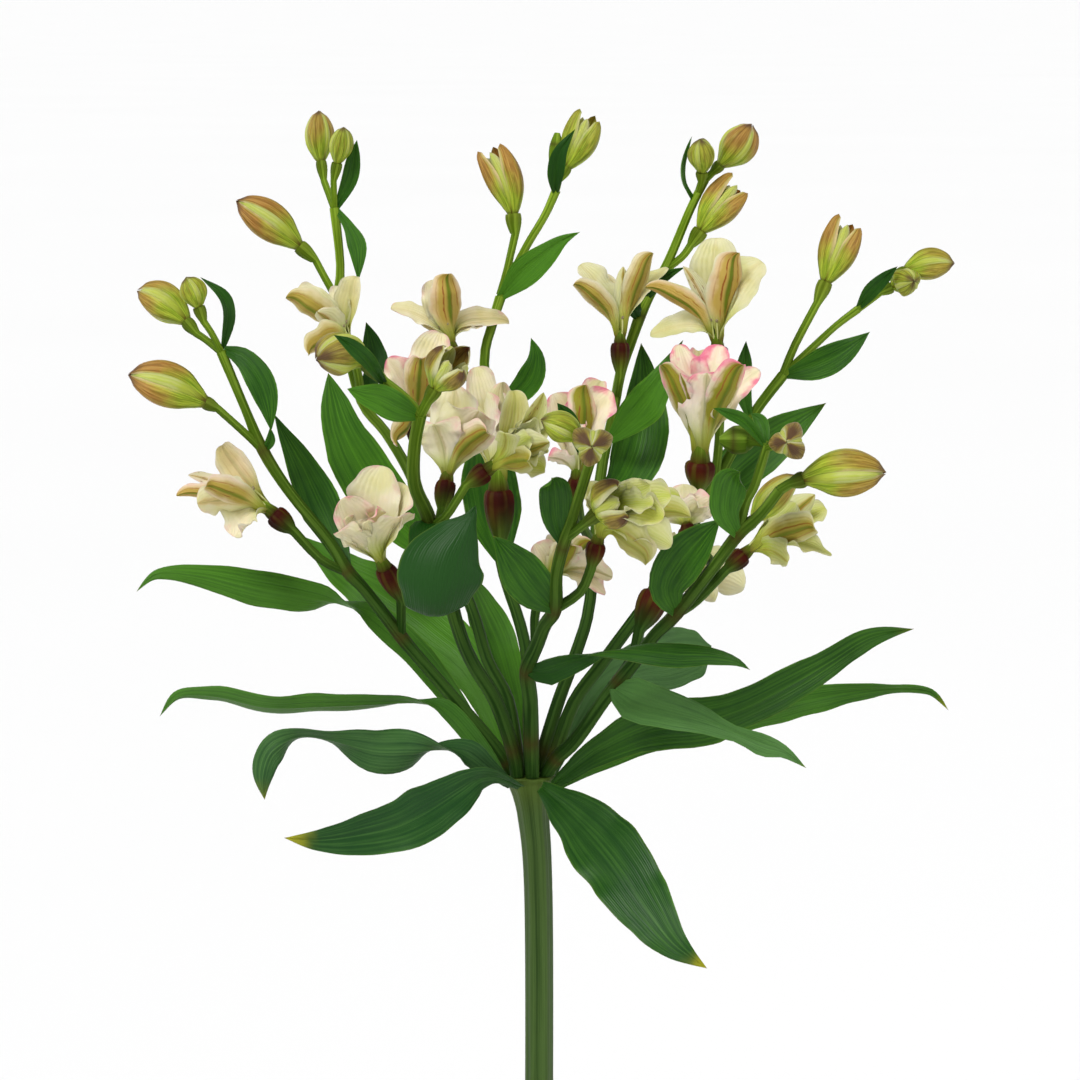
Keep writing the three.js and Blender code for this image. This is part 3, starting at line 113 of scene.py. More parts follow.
# %% The stalks and their bracts
RAYS = {
  "left": {
    "stalks": [[[-6.2, 0, -0.6, 2.3], [-8, 4, 0, 2.4], [-13, 11, 1, 2.3], [-25, 25, 3, 2.2],
      [-38, 40, 6, 2.1], [-43, 46, 8, 2.3], [-55, 61.5, 11, 2], [-61, 68, 13, 2.3], [-67, 78, 14, 1.9],
      [-80, 94, 16, 1.8], [-89, 108, 18, 2], [-95, 122, 19, 1.5], [-103, 141, 20, 1.7]]],
    "leaves": [
      [[-61, 68, 12.5, 1.6, 0], [-65.5, 80, 7, 5, 0], [-70.5, 91, 4, 7, 0], [-76, 103, 3, 5, 0],
        [-81.5, 113, 4, 2.4, 0], [-85.3, 120.3, 6, 0, 0]],
      [[-88.5, 108, 18, 0.8, 0], [-86.5, 111.5, 20, 1.6, 0], [-86.7, 116, 20, 0, 0]],
      [[-102, 142, 20, 1, 0], [-95, 138.5, 23, 3.6, 0], [-89.7, 131, 25, 4.6, 0],
        [-87.3, 123, 26, 3.2, 0], [-86.3, 114.5, 26, 0, 0]],
      [[-102.5, 142, 20, 0.8, 40], [-100.7, 153, 22, 3, 50], [-103, 160, 22, 2.6, 50],
        [-110, 166, 20, 0, 40]],
    ],
  },
  "upperLeft": {
    "stalks": [[[-3.4, 0, -5.2, 2.2], [-4.4, 7, -6.6, 2.3], [-7.5, 25, -10, 2.2], [-14.3, 38.3, -13, 2.1],
      [-20, 56.7, -22, 2], [-33.3, 85, -32, 2], [-40.7, 101.7, -37, 1.9], [-48.3, 114.3, -42, 1.8],
      [-56.3, 124.7, -45, 1.8], [-61.7, 145, -49, 1.6], [-64, 157.3, -51, 1.8], [-63.3, 170, -51, 1.5],
      [-65.3, 189, -50, 1.7]]],
    "leaves": [
      [[-27, 71, -27, 1.6, 0], [-37, 78, -24, 5, 0], [-47, 89, -22, 9, 0], [-56, 102, -21, 9.5, 0],
        [-62.5, 115, -21, 7, 0], [-65.5, 126, -22, 4, 0], [-67.3, 134, -23, 0, 0]],
      [[-57, 127, -45, 1, 0], [-51.5, 135, -47, 4, 0], [-52.5, 143, -49, 3.6, 0],
        [-54.7, 151, -50, 0, 0]],
      [[-65, 188, -50, 0.8, 0], [-60.3, 198, -48, 2.8, 0], [-58.7, 206, -47, 2.2, 0],
        [-57.7, 211.7, -46, 0, 0]],
      [[-65, 189, -50, 0.8, 0], [-60.3, 182.5, -47, 2, 0], [-57.5, 175.5, -45, 3.2, 0],
        [-57.3, 164.3, -43, 0, 0]],
      [[-63.5, 155, -51, 1, 0], [-66.5, 157.5, -49, 1.8, 0], [-69, 160, -47, 0, 0]],
    ],
  },
  "frontLeft": {
    "stalks": [[[-4.3, 0, 4.5, 2.3], [-6, 9, 8.5, 2.5], [-11.7, 25, 22, 2.4], [-19.7, 38.3, 34, 2.3],
      [-25, 52, 47, 2.3], [-33, 83, 70, 2.4], [-38, 95, 80, 2.2], [-39, 102, 85, 2.1],
      [-38.3, 111.7, 90, 2], [-36.7, 120, 94, 2.1]]],
    "leaves": [
      [[-37, 119.5, 94, 1.2, 0], [-43.5, 122, 100, 4.2, 0], [-50, 125.3, 103, 4.6, 0],
        [-56, 127, 105, 3, 0], [-61, 128.7, 106, 0, 0]],
      [[-48.3, 130, 98, 1, 0], [-54, 138, 112, 2.4, 0], [-59.5, 143, 116, 2.2, 0],
        [-65.5, 146.7, 117, 0, 0]],
    ],
    "level": [
      [[-33, 84, 71, 2, 0], [-33.5, 81, 79, 6, 0], [-32.5, 72, 88, 7.5, 0], [-32, 62, 96, 7.5, 0],
        [-32, 53, 104, 8.5, 0], [-31.5, 56, 110, 11, 0], [-30.8, 62, 112.5, 12.5, 0],
        [-29.8, 68, 113, 13, 0], [-27.8, 74, 112.5, 12, 0], [-24.5, 79.5, 111.5, 8, 0],
        [-21.5, 84, 110.5, 4, 0], [-19.5, 87, 109.5, 1.8, 0], [-18, 90, 108, 0, 0]],
    ],
  },
  "frontMiddle": {
    "stalks": [[[0.7, 0, 6.1, 2.3], [0.3, 11.7, 13, 2.6], [0, 25, 27, 2.5], [-1, 35, 38, 2.6],
      [2.3, 43.3, 47, 2.3], [5, 50, 56, 2.2], [8.3, 55.3, 64, 2.3], [8.7, 66.7, 74, 2],
      [11, 76.3, 82, 2.1], [14, 85, 89, 1.8], [16, 91.7, 96, 1.7], [20, 104.3, 110, 1.6]]],
    "leaves": [
      [[-0.5, 34.5, 40, 1.4, 0], [6, 34.3, 45, 4.2, 0], [15, 37.8, 50, 3.6, 20], [24.7, 40.7, 56, 3.4, 90],
        [36.7, 41, 62, 3.6, 150], [48.5, 40, 68, 4, 165], [60, 39.7, 73, 3, 160],
        [68.3, 38, 76, 1.5, 160], [73.3, 35, 78, 0, 160]],
      [[8, 55, 65, 1.6, 0], [1.7, 61.5, 72, 6.5, 0], [-3.5, 68.5, 76, 7, 0], [-8, 74.5, 79, 4, 0],
        [-12.3, 79.7, 80, 0, 0]],
      [[11, 76.5, 82, 1.2, 0], [9, 85, 88, 4.2, 0], [8.5, 92.5, 93, 5.2, 0], [8, 97.5, 99, 4.4, 0],
        [7.5, 98.7, 106, 0, 0]],
      [[19, 103, 108, 0.8, 0], [15, 114, 104, 2.2, 0], [12, 120, 104, 2.4, 0], [9, 124, 105, 0, 0]],
    ],
  },
  "topMiddle": {
    "stalks": [[[0, 0, 0, 2.2], [-0.3, 18, -3, 2.3], [-0.7, 35.7, -9, 2.1], [-3.3, 50, -17, 2],
      [-10.3, 73.3, -30, 1.9], [-13.3, 108.3, -45, 1.8], [-15.3, 137.3, -57, 1.7],
      [-12.7, 150, -61, 1.7], [-10, 159, -64, 1.9]],
    [[-10, 159, -64, 1.5], [-3.3, 172.3, -63, 1.4], [0, 178.3, -62, 1.4], [5, 186.7, -61, 1.4],
      [8.7, 195, -60, 1.6]],
    [[8.7, 195, -60, 1.1], [7.5, 201, -62, 1], [8, 206, -63, 2], [8.7, 210, -63, 2.3],
      [9, 214, -63, 1]]],
    "leaves": [
      [[-10, 159, -63, 1.4, 0], [-2.7, 166.7, -59, 5, 0], [4, 172.3, -56, 4.6, 0],
        [10.7, 178, -54, 2, 0], [16.7, 181, -52, 0, 0]],
      [[8.5, 194, -59, 1, 0], [8.5, 201, -54, 3, 0], [10.3, 208, -51, 2.4, 0], [15, 215.3, -50, 0, 0]],
      [[-9, 70, -28, 1.6, 0], [-11, 80, -30, 7, 0], [-12.5, 90, -31, 10, 0], [-14, 100, -32, 9, 0],
        [-15.5, 110, -33, 5, 0], [-16.5, 118, -34, 0, 0]],
      [[-13.8, 116, -48, 1, 0], [-6, 125, -45, 3.4, 0], [0, 132, -42, 4.6, 0], [2, 139, -41, 3, 0],
        [0.3, 145.7, -41, 0, 0]],
    ],
  },
  "upperRight": {
    "stalks": [[[2, 0, -5.9, 2.2], [4, 7, -7.6, 2.3], [9.6, 25, -11.5, 2.2], [15.7, 41.7, -16, 2.1],
      [20, 58.3, -22, 2], [23.3, 98.3, -34, 1.9], [27.3, 118.3, -38, 1.8], [30, 133.3, -41, 1.8],
      [33.3, 143.3, -43, 1.8], [36.7, 153, -45, 2], [40, 160, -45, 1.7], [46, 171, -46, 1.6],
      [53.3, 188.3, -46, 1.5], [58.3, 198.3, -46, 1.5]]],
    "leaves": [
      [[36, 152, -44, 1, 0], [34.7, 156, -40, 2.6, 0], [37, 160.5, -38, 0, 0]],
      [[39, 159, -44, 1, 0], [43, 165, -39, 2.4, 0], [51.7, 169.3, -35, 0, 0]],
      [[26.5, 111.7, -36, 1.6, 0], [36.7, 121.7, -30, 6.5, 0], [42.7, 130, -28, 5, 0],
        [51, 145, -29, 0, 0]],
      [[23, 92, -33, 1.6, 0], [31, 98, -40, 7, 0], [36, 108, -45, 9.5, 0], [38, 120, -48, 8, 0],
        [38, 133, -50, 4.5, 0], [37, 144, -51, 0, 0]],
      [[55, 191, -46, 0.8, 0], [51.5, 197, -43, 1.2, 60], [51, 204, -42, 1.4, 60], [54, 213, -42, 0, 0]],
    ],
  },
  "right": {
    "stalks": [[[5.8, 0, -2.1, 2.3], [8, 6, -3, 2.4], [14.5, 24, -7, 2.3], [24.7, 38.3, -11, 2.2],
      [41.7, 61.7, -18, 2.1], [53.3, 81.7, -24, 2], [64, 101.7, -29, 1.9], [74.3, 120, -33, 1.8],
      [84.3, 133.3, -35, 1.9]],
    [[84.3, 133.3, -35, 1.4], [93.3, 141.7, -35, 1.3], [101.7, 149.5, -35, 1.2],
      [109.3, 155.3, -35, 1.4]]],
    "leaves": [
      [[84.5, 133, -35, 1, 0], [95, 136.3, -31, 4.8, 0], [104, 140.7, -28, 4.5, 0],
        [113.3, 147.7, -27, 0, 0]],
      [[109, 155, -35, 0.8, 0], [113.5, 161, -31, 2.6, 0], [118.5, 166, -28, 2, 0],
        [122.5, 169.5, -25, 0, 0]],
      [[57, 88.5, -26, 1.6, 0], [65, 98, -36, 7, 0], [75, 107, -41, 8.5, 0], [87, 116, -43, 5.5, 0],
        [98.7, 124, -43, 0, 0]],
      [[73.5, 118, -32, 0.8, 0], [70.5, 130, -30, 3.4, 0], [71.5, 138, -28, 2.4, 0],
        [72, 144.7, -28, 0, 0]],
    ],
  },
  "frontRight": {
    "stalks": [[[5.3, 0, 3.2, 2.3], [8.8, 5.5, 6.6, 2.5], [15.3, 11.7, 12, 2.4], [24.7, 25, 22, 2.3],
      [30, 31.7, 29, 2.5], [36.7, 40, 39, 2.2], [41.7, 46.7, 46, 2.1], [49, 54, 54, 2.3],
      [61.7, 70, 68, 2], [69.3, 80, 76, 2.1], [76.7, 86.7, 80, 1.8], [83.3, 95, 84, 1.7]],
    [[69.3, 80, 76, 1.6], [72, 91, 81, 1.5], [75, 97, 84, 1.5], [79, 110, 90, 1.5]],
    [[79, 110, 90, 1.2], [75, 111, 89, 1.4], [72.5, 111.5, 88, 4], [67.5, 111.5, 88, 4.3],
      [63, 111.7, 88, 1]]],
    "leaves": [
      [[27.3, 29.5, 28, 1.6, 0], [35, 25, 37, 7, 0], [46, 21.8, 44, 6.2, 0], [57, 18.7, 50, 4.8, 10],
        [68, 14.3, 56, 3, 30], [78, 10, 61, 3.6, 10], [85, 7.5, 64, 2, 0], [92, 2.3, 67, 0, 0]],
      [[49, 53.5, 55, 1.4, 0], [45.5, 62, 62, 5.5, 0], [50, 71, 66, 7.5, 0], [57, 79, 69, 5, 0],
        [63.5, 85.3, 71, 0, 0]],
      [[69.5, 79.5, 77, 1.2, 0], [65.5, 86.5, 82, 4, 0], [65.5, 93, 86, 5.5, 0], [67.5, 99, 91, 5, 0],
        [70, 101, 98, 0, 0]],
      [[79, 109, 90, 0.8, 0], [72, 117.5, 94, 2, 0], [66, 120.5, 95, 1.6, 0], [61, 122.3, 95, 0, 0]],
      [[79, 110, 89, 0.8, 0], [77, 117.5, 86, 2.2, 0], [73.5, 120.5, 84, 0, 0]],
    ],
  },
}

# %% The flowers
FLOWERS = {
  "left_low": { "ray": "left",
    "pedicel": [[-43, 46, 8, 1.5], [-43, 53, 12, 1.4], [-43, 58, 16, 1.5]], "ovary": [-48.5, 69, 23, 3.6],
    "petals": [[-49, 103, 28, 8, 2], [-41, 96.5, 28, 8, 2], [-39, 87, 34, 8, 2], [-63, 92, 34, 6.5, 2],
      [-64, 81, 38, 5.5, 2], [-57, 94, 24, 4.5, 1]] },
  "left_high": { "ray": "left",
    "pedicel": [[-62, 68, 13, 1.5], [-70, 72, 16, 1.4], [-78.5, 81, 17, 1.5]],
    "ovary": [-85.5, 87, 17, 3.5],
    "petals": [[-102.5, 110, 10, 5.4, 0], [-108, 96, 28, 4.6, 0], [-111, 90.5, 20, 6.5, 2],
      [-98, 79, 18, 8, 2], [-118, 93, 14, 3.6, 0], [-114, 100, 9, 2.4, 1]] },
  "upper_left": { "ray": "upperLeft",
    "pedicel": [[-56.3, 124.7, -45, 1.4], [-57, 131, -40, 1.4], [-58, 136, -37, 1.5]],
    "ovary": [-60.5, 143, -35, 3.2],
    "petals": [[-57.5, 166, -38, 4.6, 0], [-64, 163, -42, 4, 2], [-81.5, 159, -30, 5.5, 0],
      [-77, 163, -37, 4, 2], [-73.5, 140, -22, 5, 0], [-71, 154.5, -27, 5, 1]] },
  "middle_left": { "ray": "upperLeft",
    "pedicel": [[-40.7, 101.7, -37, 1.5], [-39, 106, -35, 1.4], [-38.5, 110, -32, 1.5]],
    "ovary": [-38, 117, -26, 3.4],
    "petals": [[-47.5, 139, -14, 5, 2], [-36.5, 138.5, 0, 5.4, 0], [-30, 147.5, -26, 7, 2],
      [-44, 109.5, -12, 5.5, 0], [-29, 118, -14, 4, 2], [-43, 134, -22, 4.5, 1]] },
  "front_cream": { "ray": "frontLeft",
    "pedicel": [[-33.3, 83, 70, 1.6], [-30.5, 85, 66, 1.5], [-29.5, 88, 62, 1.6]],
    "ovary": [-28, 97.5, 59, 3.4],
    "petals": [[-14.5, 114, 72, 5.4, 0], [-17, 121.5, 66, 8.5, 2], [-32, 117, 66, 8.5, 2],
      [-25, 130, 58, 7, 2], [-20, 126, 50, 5, 1]] },
  "front_lime": { "ray": "frontLeft",
    "pedicel": [[-33.3, 83, 70, 1.5], [-28.3, 86, 76, 1.4], [-23, 94, 80, 1.4], [-21.5, 96.5, 81, 1.5]],
    "ovary": [-14.5, 101.5, 82, 3.3],
    "petals": [[-1, 104.5, 92, 4.6, 0], [4.5, 127.5, 84, 4.2, 1], [-6, 128, 76, 5, 0],
      [6.5, 111, 88, 5.5, 1], [-8.5, 114, 96, 3.4, 2], [3, 119, 80, 4.5, 2], [5, 102, 78, 4.5, 2]] },
  "middle_back": { "ray": "topMiddle",
    "pedicel": [[-9.5, 70, -28, 1.6], [-9, 73, -16, 1.5], [-9.8, 77, -7, 1.8]], "ovary": [-10.5, 95, -4, 5],
    "petals": [[-18, 136, -8, 6, 2], [-9, 131, 3, 5.5, 0], [-23, 124, 0, 5, 0], [-1, 125, -8, 5, 0],
      [-12, 127, -16, 5, 1]] },
  "upper_back": { "ray": "topMiddle",
    "pedicel": [[-15, 127, -53, 1.5], [-20, 132, -54, 1.4], [-24, 135, -53, 1.5]],
    "ovary": [-26, 142, -52, 3.2],
    "petals": [[-27, 167, -44, 6.2, 0], [-33, 165, -54, 5, 2], [-46.5, 155.5, -48, 4.5, 2],
      [-7, 150.5, -64, 4, 0], [-16, 151, -59, 5, 2], [-38, 153, -60, 4, 0]] },
  "upper_right": { "ray": "upperRight",
    "pedicel": [[29, 127, -39, 1.5], [29.5, 130, -34, 1.4], [30, 133, -32, 1.5]],
    "ovary": [30, 144, -31, 3.1],
    "petals": [[16.5, 170, -34, 5, 2], [14.5, 163.5, -22, 4.2, 0], [31, 169.5, -27, 2.6, 1],
      [41, 174, -25, 4.6, 0], [46, 169, -36, 3.4, 2], [24, 166, -41, 4, 0]] },
  "middle_pink": { "ray": "upperRight",
    "pedicel": [[21.5, 76, -27, 1.6], [17.5, 83, -8, 1.5], [16, 90, 7, 1.7]], "ovary": [15.7, 99, 10, 3.3],
    "petals": [[18.3, 130, 21, 5.4, 0], [7.5, 127, 14, 6.5, 2], [27, 128, 13, 6.5, 2],
      [24, 131, 2, 5.5, 0], [11, 126, 0, 5.5, 0], [6, 106, 17, 3.4, 2]] },
  "low_back": { "ray": "frontMiddle",
    "pedicel": [[-0.5, 36, 37, 1.5], [1.5, 42, 33, 1.4], [1.5, 52, 31, 1.4], [2.5, 57, 31, 1.5]],
    "ovary": [5.5, 63.5, 31, 3.8],
    "petals": [[1.5, 77, 30, 5, 2], [13.5, 76.5, 42, 5, 0], [27.5, 66, 36, 6.5, 2], [21, 77.5, 30, 5, 0],
      [25, 60, 30, 5, 2], [10, 79, 22, 5, 0]] },
  "right_small": { "ray": "frontRight",
    "pedicel": [[61, 69, 67, 1.6], [59, 73, 52, 1.5], [55.5, 75, 36, 1.5], [53.5, 76.5, 28, 1.5]],
    "ovary": [52.5, 82, 22, 3.2],
    "petals": [[51, 97, 16, 5.5, 2], [60.5, 92, 20, 5, 2], [56, 89, 28, 5, 0], [46, 90, 22, 5, 0]] },
  "right_pink": { "ray": "right",
    "pedicel": [[53.3, 81.7, -24, 1.7], [55, 86, -10, 1.6], [56, 90, 1, 1.6], [56.3, 94.5, 5, 1.8]],
    "ovary": [56.7, 104.5, 8, 4.8],
    "petals": [[43.7, 136.7, 22, 5, 0], [71, 136.5, 28, 6, 0], [59, 134, 23, 8, 2],
      [55.7, 141, -8, 5.5, 0], [49.5, 143.5, 3, 6, 2], [62.8, 143.5, 2, 6, 2], [76.5, 135, 8, 4.5, 2],
      [50, 134, 22, 3, 1]] },
  "upper_white": { "ray": "right",
    "pedicel": [[61.5, 97, -28, 1.5], [63, 112, -25, 1.4], [63.5, 128, -23, 1.4], [63, 136, -22, 1.5]],
    "ovary": [62.5, 142.5, -20, 3.3],
    "petals": [[62, 179, -24, 7.6, 2], [69.5, 174, -8, 6.4, 0], [77.5, 171, -18, 8.5, 2],
      [38.3, 162.5, -13, 4, 0], [40, 146.5, -24, 4.6, 2], [51, 169.5, -18, 3, 1], [66, 171, -30, 5, 0]] },
  "front_double": { "ray": "frontMiddle",
    "pedicel": [[8.3, 55.3, 64, 1.6], [16.7, 61, 68, 1.5], [20.3, 69, 72, 1.6]],
    "ovary": [22.3, 77.3, 74, 3.1],
    "petals": [[38.5, 70, 84, 7, 0], [53.5, 86, 80, 5, 0], [31, 92, 76, 4.5, 1], [42, 95, 76, 5, 1],
      [50, 93, 68, 5, 2], [47, 76, 78, 6, 2], [40, 84, 88, 4.5, 1]] },
  "front_right": { "ray": "frontRight",
    "pedicel": [[50, 54.5, 54, 1.6], [55.7, 58.3, 51, 1.5], [65, 68, 47, 1.5]],
    "ovary": [71.3, 73.5, 46, 3.1],
    "petals": [[95, 93.5, 45, 4.4, 1], [98.5, 89, 38, 5, 2], [94.5, 82, 58, 5.4, 0], [100.5, 73, 46, 5, 2],
      [86, 71, 53, 4.4, 2], [91, 86, 52, 3.4, 1]] },
  "low_right": { "ray": "frontRight",
    "pedicel": [[27.3, 29.3, 27, 1.7], [34, 39, 24, 1.6], [36.3, 48, 20, 1.8]],
    "ovary": [42, 60.5, 16, 4.7],
    "petals": [[71.5, 62.5, 18, 8.5, 2], [56, 69.5, 22, 4, 0], [62, 58.5, 20, 6, 2], [64, 73, 6, 5, 2],
      [51, 74, 10, 4.5, 1]] },
}

# %% The opening heads
OPENINGS = {
  "opening_top": { "ray": "topMiddle",
    "pedicel": [[-10, 160, -64, 1.3], [-7.7, 168.3, -65, 1.2], [-5, 180, -65, 1.3]],
    "ovary": [-5.7, 187, -65, 3.2], "tip": [-13.6, 210, -65], "radius": 6.6, "ripe": 0.95, "brown": 0.1 },
  "opening_tip": { "ray": "topMiddle",
    "pedicel": [[8.7, 195, -60, 1.2], [9.3, 198, -61, 1.3]],
    "ovary": [12, 202.5, -62, 2.6], "tip": [20.8, 220.5, -62], "radius": 6.4, "ripe": 0.2, "brown": 0.25 },
  "opening_right": { "ray": "upperRight",
    "pedicel": [[44.5, 168, -46, 1.3], [50.5, 172.5, -46, 1.2], [53.5, 176.5, -46, 1.3]],
    "ovary": [57, 181.5, -45, 3.2], "tip": [70.5, 197, -45], "radius": 6.8, "ripe": 0.9, "brown": 0.1 },
  "opening_far": { "ray": "right",
    "pedicel": [[84.3, 133.3, -35, 1.4], [88.3, 143.3, -35, 1.3], [95.7, 157.3, -36, 1.3]],
    "ovary": [98.5, 164.3, -36, 3], "tip": [107.2, 185, -36], "radius": 6.8, "ripe": 0.9, "brown": 0.1 },
  "opening_claw": { "ray": "frontLeft",
    "pedicel": [[-36.5, 120, 94, 1.5], [-34.5, 124, 96, 1.5]],
    "ovary": [-31.5, 129, 98, 2.8], "tip": [-23.5, 140.5, 107], "radius": 7, "ripe": 0.5, "brown": 1.0 },
  "opening_middle": { "ray": "frontMiddle",
    "pedicel": [[12, 79, 84, 1.5], [18, 83.5, 92, 1.4]],
    "ovary": [23, 87.5, 98.5, 2.8], "tip": [33.5, 93, 109], "radius": 7.8, "ripe": 0.5, "brown": 1.0,
    "petals": [[47, 93, 105, 5, 2], [44.5, 85.5, 108, 4.6, 2], [40, 96.5, 107, 4.2, 2],
      [41, 90, 111, 4, 2]] },
}

# %% The closed buds
BUDS = {
  "left_1": { "ray": "left", "pedicel": [[-89, 108, 18, 1.3], [-94, 113, 20, 1.2], [-104, 122, 23, 1.2]],
    "ovary": [-108.5, 124.3, 24, 2.6], "tip": [-134, 133.5, 30], "radius": 7.4 },
  "left_2": { "ray": "left", "pedicel": [[-103, 141, 20, 1.2], [-108, 145, 18, 1.1], [-111, 147, 17, 1.2]],
    "ovary": [-114.5, 151, 15, 2.6], "tip": [-131, 161.5, 10], "radius": 6 },
  "left_3": { "ray": "left", "pedicel": [[-103, 141, 20, 1.1], [-106, 147, 22, 1], [-108.7, 151, 23, 1.1]],
    "ovary": [-110.5, 156, 24, 2.4], "tip": [-114.7, 166, 26], "radius": 4.2 },
  "upper_left_1": { "ray": "upperLeft",
    "pedicel": [[-64, 158, -50, 1.3], [-68, 165, -50, 1.2], [-71.5, 171.5, -50, 1.2]],
    "ovary": [-77, 176.3, -49, 3], "tip": [-98, 191.5, -44], "radius": 6.6 },
  "upper_left_2": { "ray": "upperLeft", "pedicel": [[-65.3, 189, -50, 1.2], [-68.7, 198, -54, 1.1]],
    "ovary": [-69.7, 204.5, -55, 2.2], "tip": [-70.3, 221.5, -56], "radius": 4.9 },
  "upper_left_3": { "ray": "upperLeft", "pedicel": [[-65.3, 189, -50, 1.1], [-65.5, 198, -46, 1]],
    "ovary": [-64.3, 204, -44, 2.2], "tip": [-62, 216, -41], "radius": 3.9 },
  "front_left": { "ray": "frontLeft",
    "pedicel": [[-36.7, 120, 94, 1.5], [-41.7, 125.7, 96, 1.4], [-48.3, 131, 98, 1.4]],
    "ovary": [-55, 137.3, 100, 2.8], "tip": [-71.5, 138.5, 108], "radius": 6.6 },
  "front_middle": { "ray": "frontMiddle", "pedicel": [[20, 104.3, 110, 1.2], [18.5, 108, 112, 1.1]],
    "ovary": [16, 111.7, 113, 2.2], "tip": [3.5, 118.3, 117], "radius": 4.5 },
  "front_facing": { "ray": "frontMiddle", "pedicel": [[20, 104.3, 110, 1.3], [20.2, 106.3, 112, 1.4]],
    "ovary": [20.3, 108.3, 116, 3], "tip": [20.5, 109.5, 130], "radius": 6 },
  "right_1": { "ray": "upperRight", "pedicel": [[58.3, 198.3, -46, 1.2], [60.5, 200.5, -46, 1.2]],
    "ovary": [63.5, 203.5, -45, 2.4], "tip": [74, 217, -41], "radius": 6 },
  "right_2": { "ray": "upperRight", "pedicel": [[56, 194, -46, 1.2], [57, 197.5, -43, 1.1]],
    "ovary": [57.3, 201, -41, 2.4], "tip": [56.5, 212, -34], "radius": 4.3 },
  "far_1": { "ray": "right", "pedicel": [[109.3, 155.3, -35, 1.2], [116.7, 160.7, -35, 1.1]],
    "ovary": [120.5, 162.7, -35, 2.4], "tip": [128, 164.5, -25], "radius": 4.5 },
  "far_2": { "ray": "right", "pedicel": [[110, 156, -35, 1.1], [117.5, 164, -40, 1], [121, 166.5, -41, 1]],
    "ovary": [125, 168, -42, 2.2], "tip": [141.5, 170.5, -41], "radius": 5.2 },
  "low_right_1": { "ray": "frontRight", "pedicel": [[83.3, 95, 84, 1.5], [86.5, 97, 85.5, 1.5]],
    "ovary": [91.5, 98.7, 87, 3], "tip": [118.7, 100.7, 92], "radius": 7.4 },
  "low_right_2": { "ray": "frontRight", "pedicel": [[79, 109, 90, 1.2], [82, 110, 92, 1.2]],
    "ovary": [84, 110.5, 95, 2.6], "tip": [85.5, 111, 109], "radius": 5.6 },
  "low_right_3": { "ray": "frontRight", "pedicel": [[67, 77, 73, 1.3], [71, 81, 66, 1.2]],
    "ovary": [74.5, 85, 63, 2.4], "tip": [89, 100, 63], "radius": 4.6 },
}
print("leaves", len(WHORL_LEAVES), "stalks", len(RAYS), "flowers", len(FLOWERS) + len(OPENINGS),
      "buds", len(BUDS))

# %% [markdown]
# ## Shaping tools
# Stalks, buds and petals all follow a path. The path helpers below read rows at any share of their length
# and give turning frames that go along without twisting. Two tools then do nearly all of the modelling.
# `tube` extrudes a circle from frame to frame. `blade` lays two grids back to back and welds their edges,
# which gives a thin closed leaf or petal. Both leave an attribute called skin on the mesh: the place
# across, the place along and the side, which the finishes read to follow veins and stripes. A second
# attribute, mood, carries the tone of each piece.

# %% Paths
def along(rows, share):
    """A smooth curve through rows of numbers, with share from 0 at the first row to 1 at the last."""
    last = len(rows) - 1
    step = min(int(share * last), last - 1)
    f = share * last - step
    near = [rows[min(max(k, 0), last)] for k in (step - 1, step, step + 1, step + 2)]
    return [q + 0.5 * f * (r - p + f * (2 * p - 5 * q + 4 * r - s + f * (3 * q - p - 3 * r + s)))
            for p, q, r, s in zip(*near)]


def directions(points):
    """Unit directions along a row of points."""
    last = len(points) - 1
    return [(points[min(k + 1, last)] - points[max(k - 1, 0)]).normalized() for k in range(last + 1)]


def frames(points, start=None):
    """Frames whose third axis follows the points, carried along without twisting."""
    ways = directions(points)
    if start:
        ways[0] = start
    side = ways[0].cross(TOWARD).normalized()
    made = []
    for point, way in zip(points, ways):
        side = (side - way * side.dot(way)).normalized()
        turn = Matrix((side, way.cross(side), way)).transposed().to_4x4()
        made.append(Matrix.Translation(point) @ turn)
    return made


def ease(value, low, high):
    """0 below low, 1 above high and a smooth step between them."""
    t = min(max((value - low) / (high - low), 0), 1)
    return t * t * (3 - 2 * t)


print("first leaf, half way:", [round(v, 1) for v in along(WHORL_LEAVES[0], 0.5)])

# %% The workpiece
WELD = 0.004  # millimetres within which two edges of a blade are one
KNIFE = math.radians(75)  # faces that meet at more than this keep a crisp edge


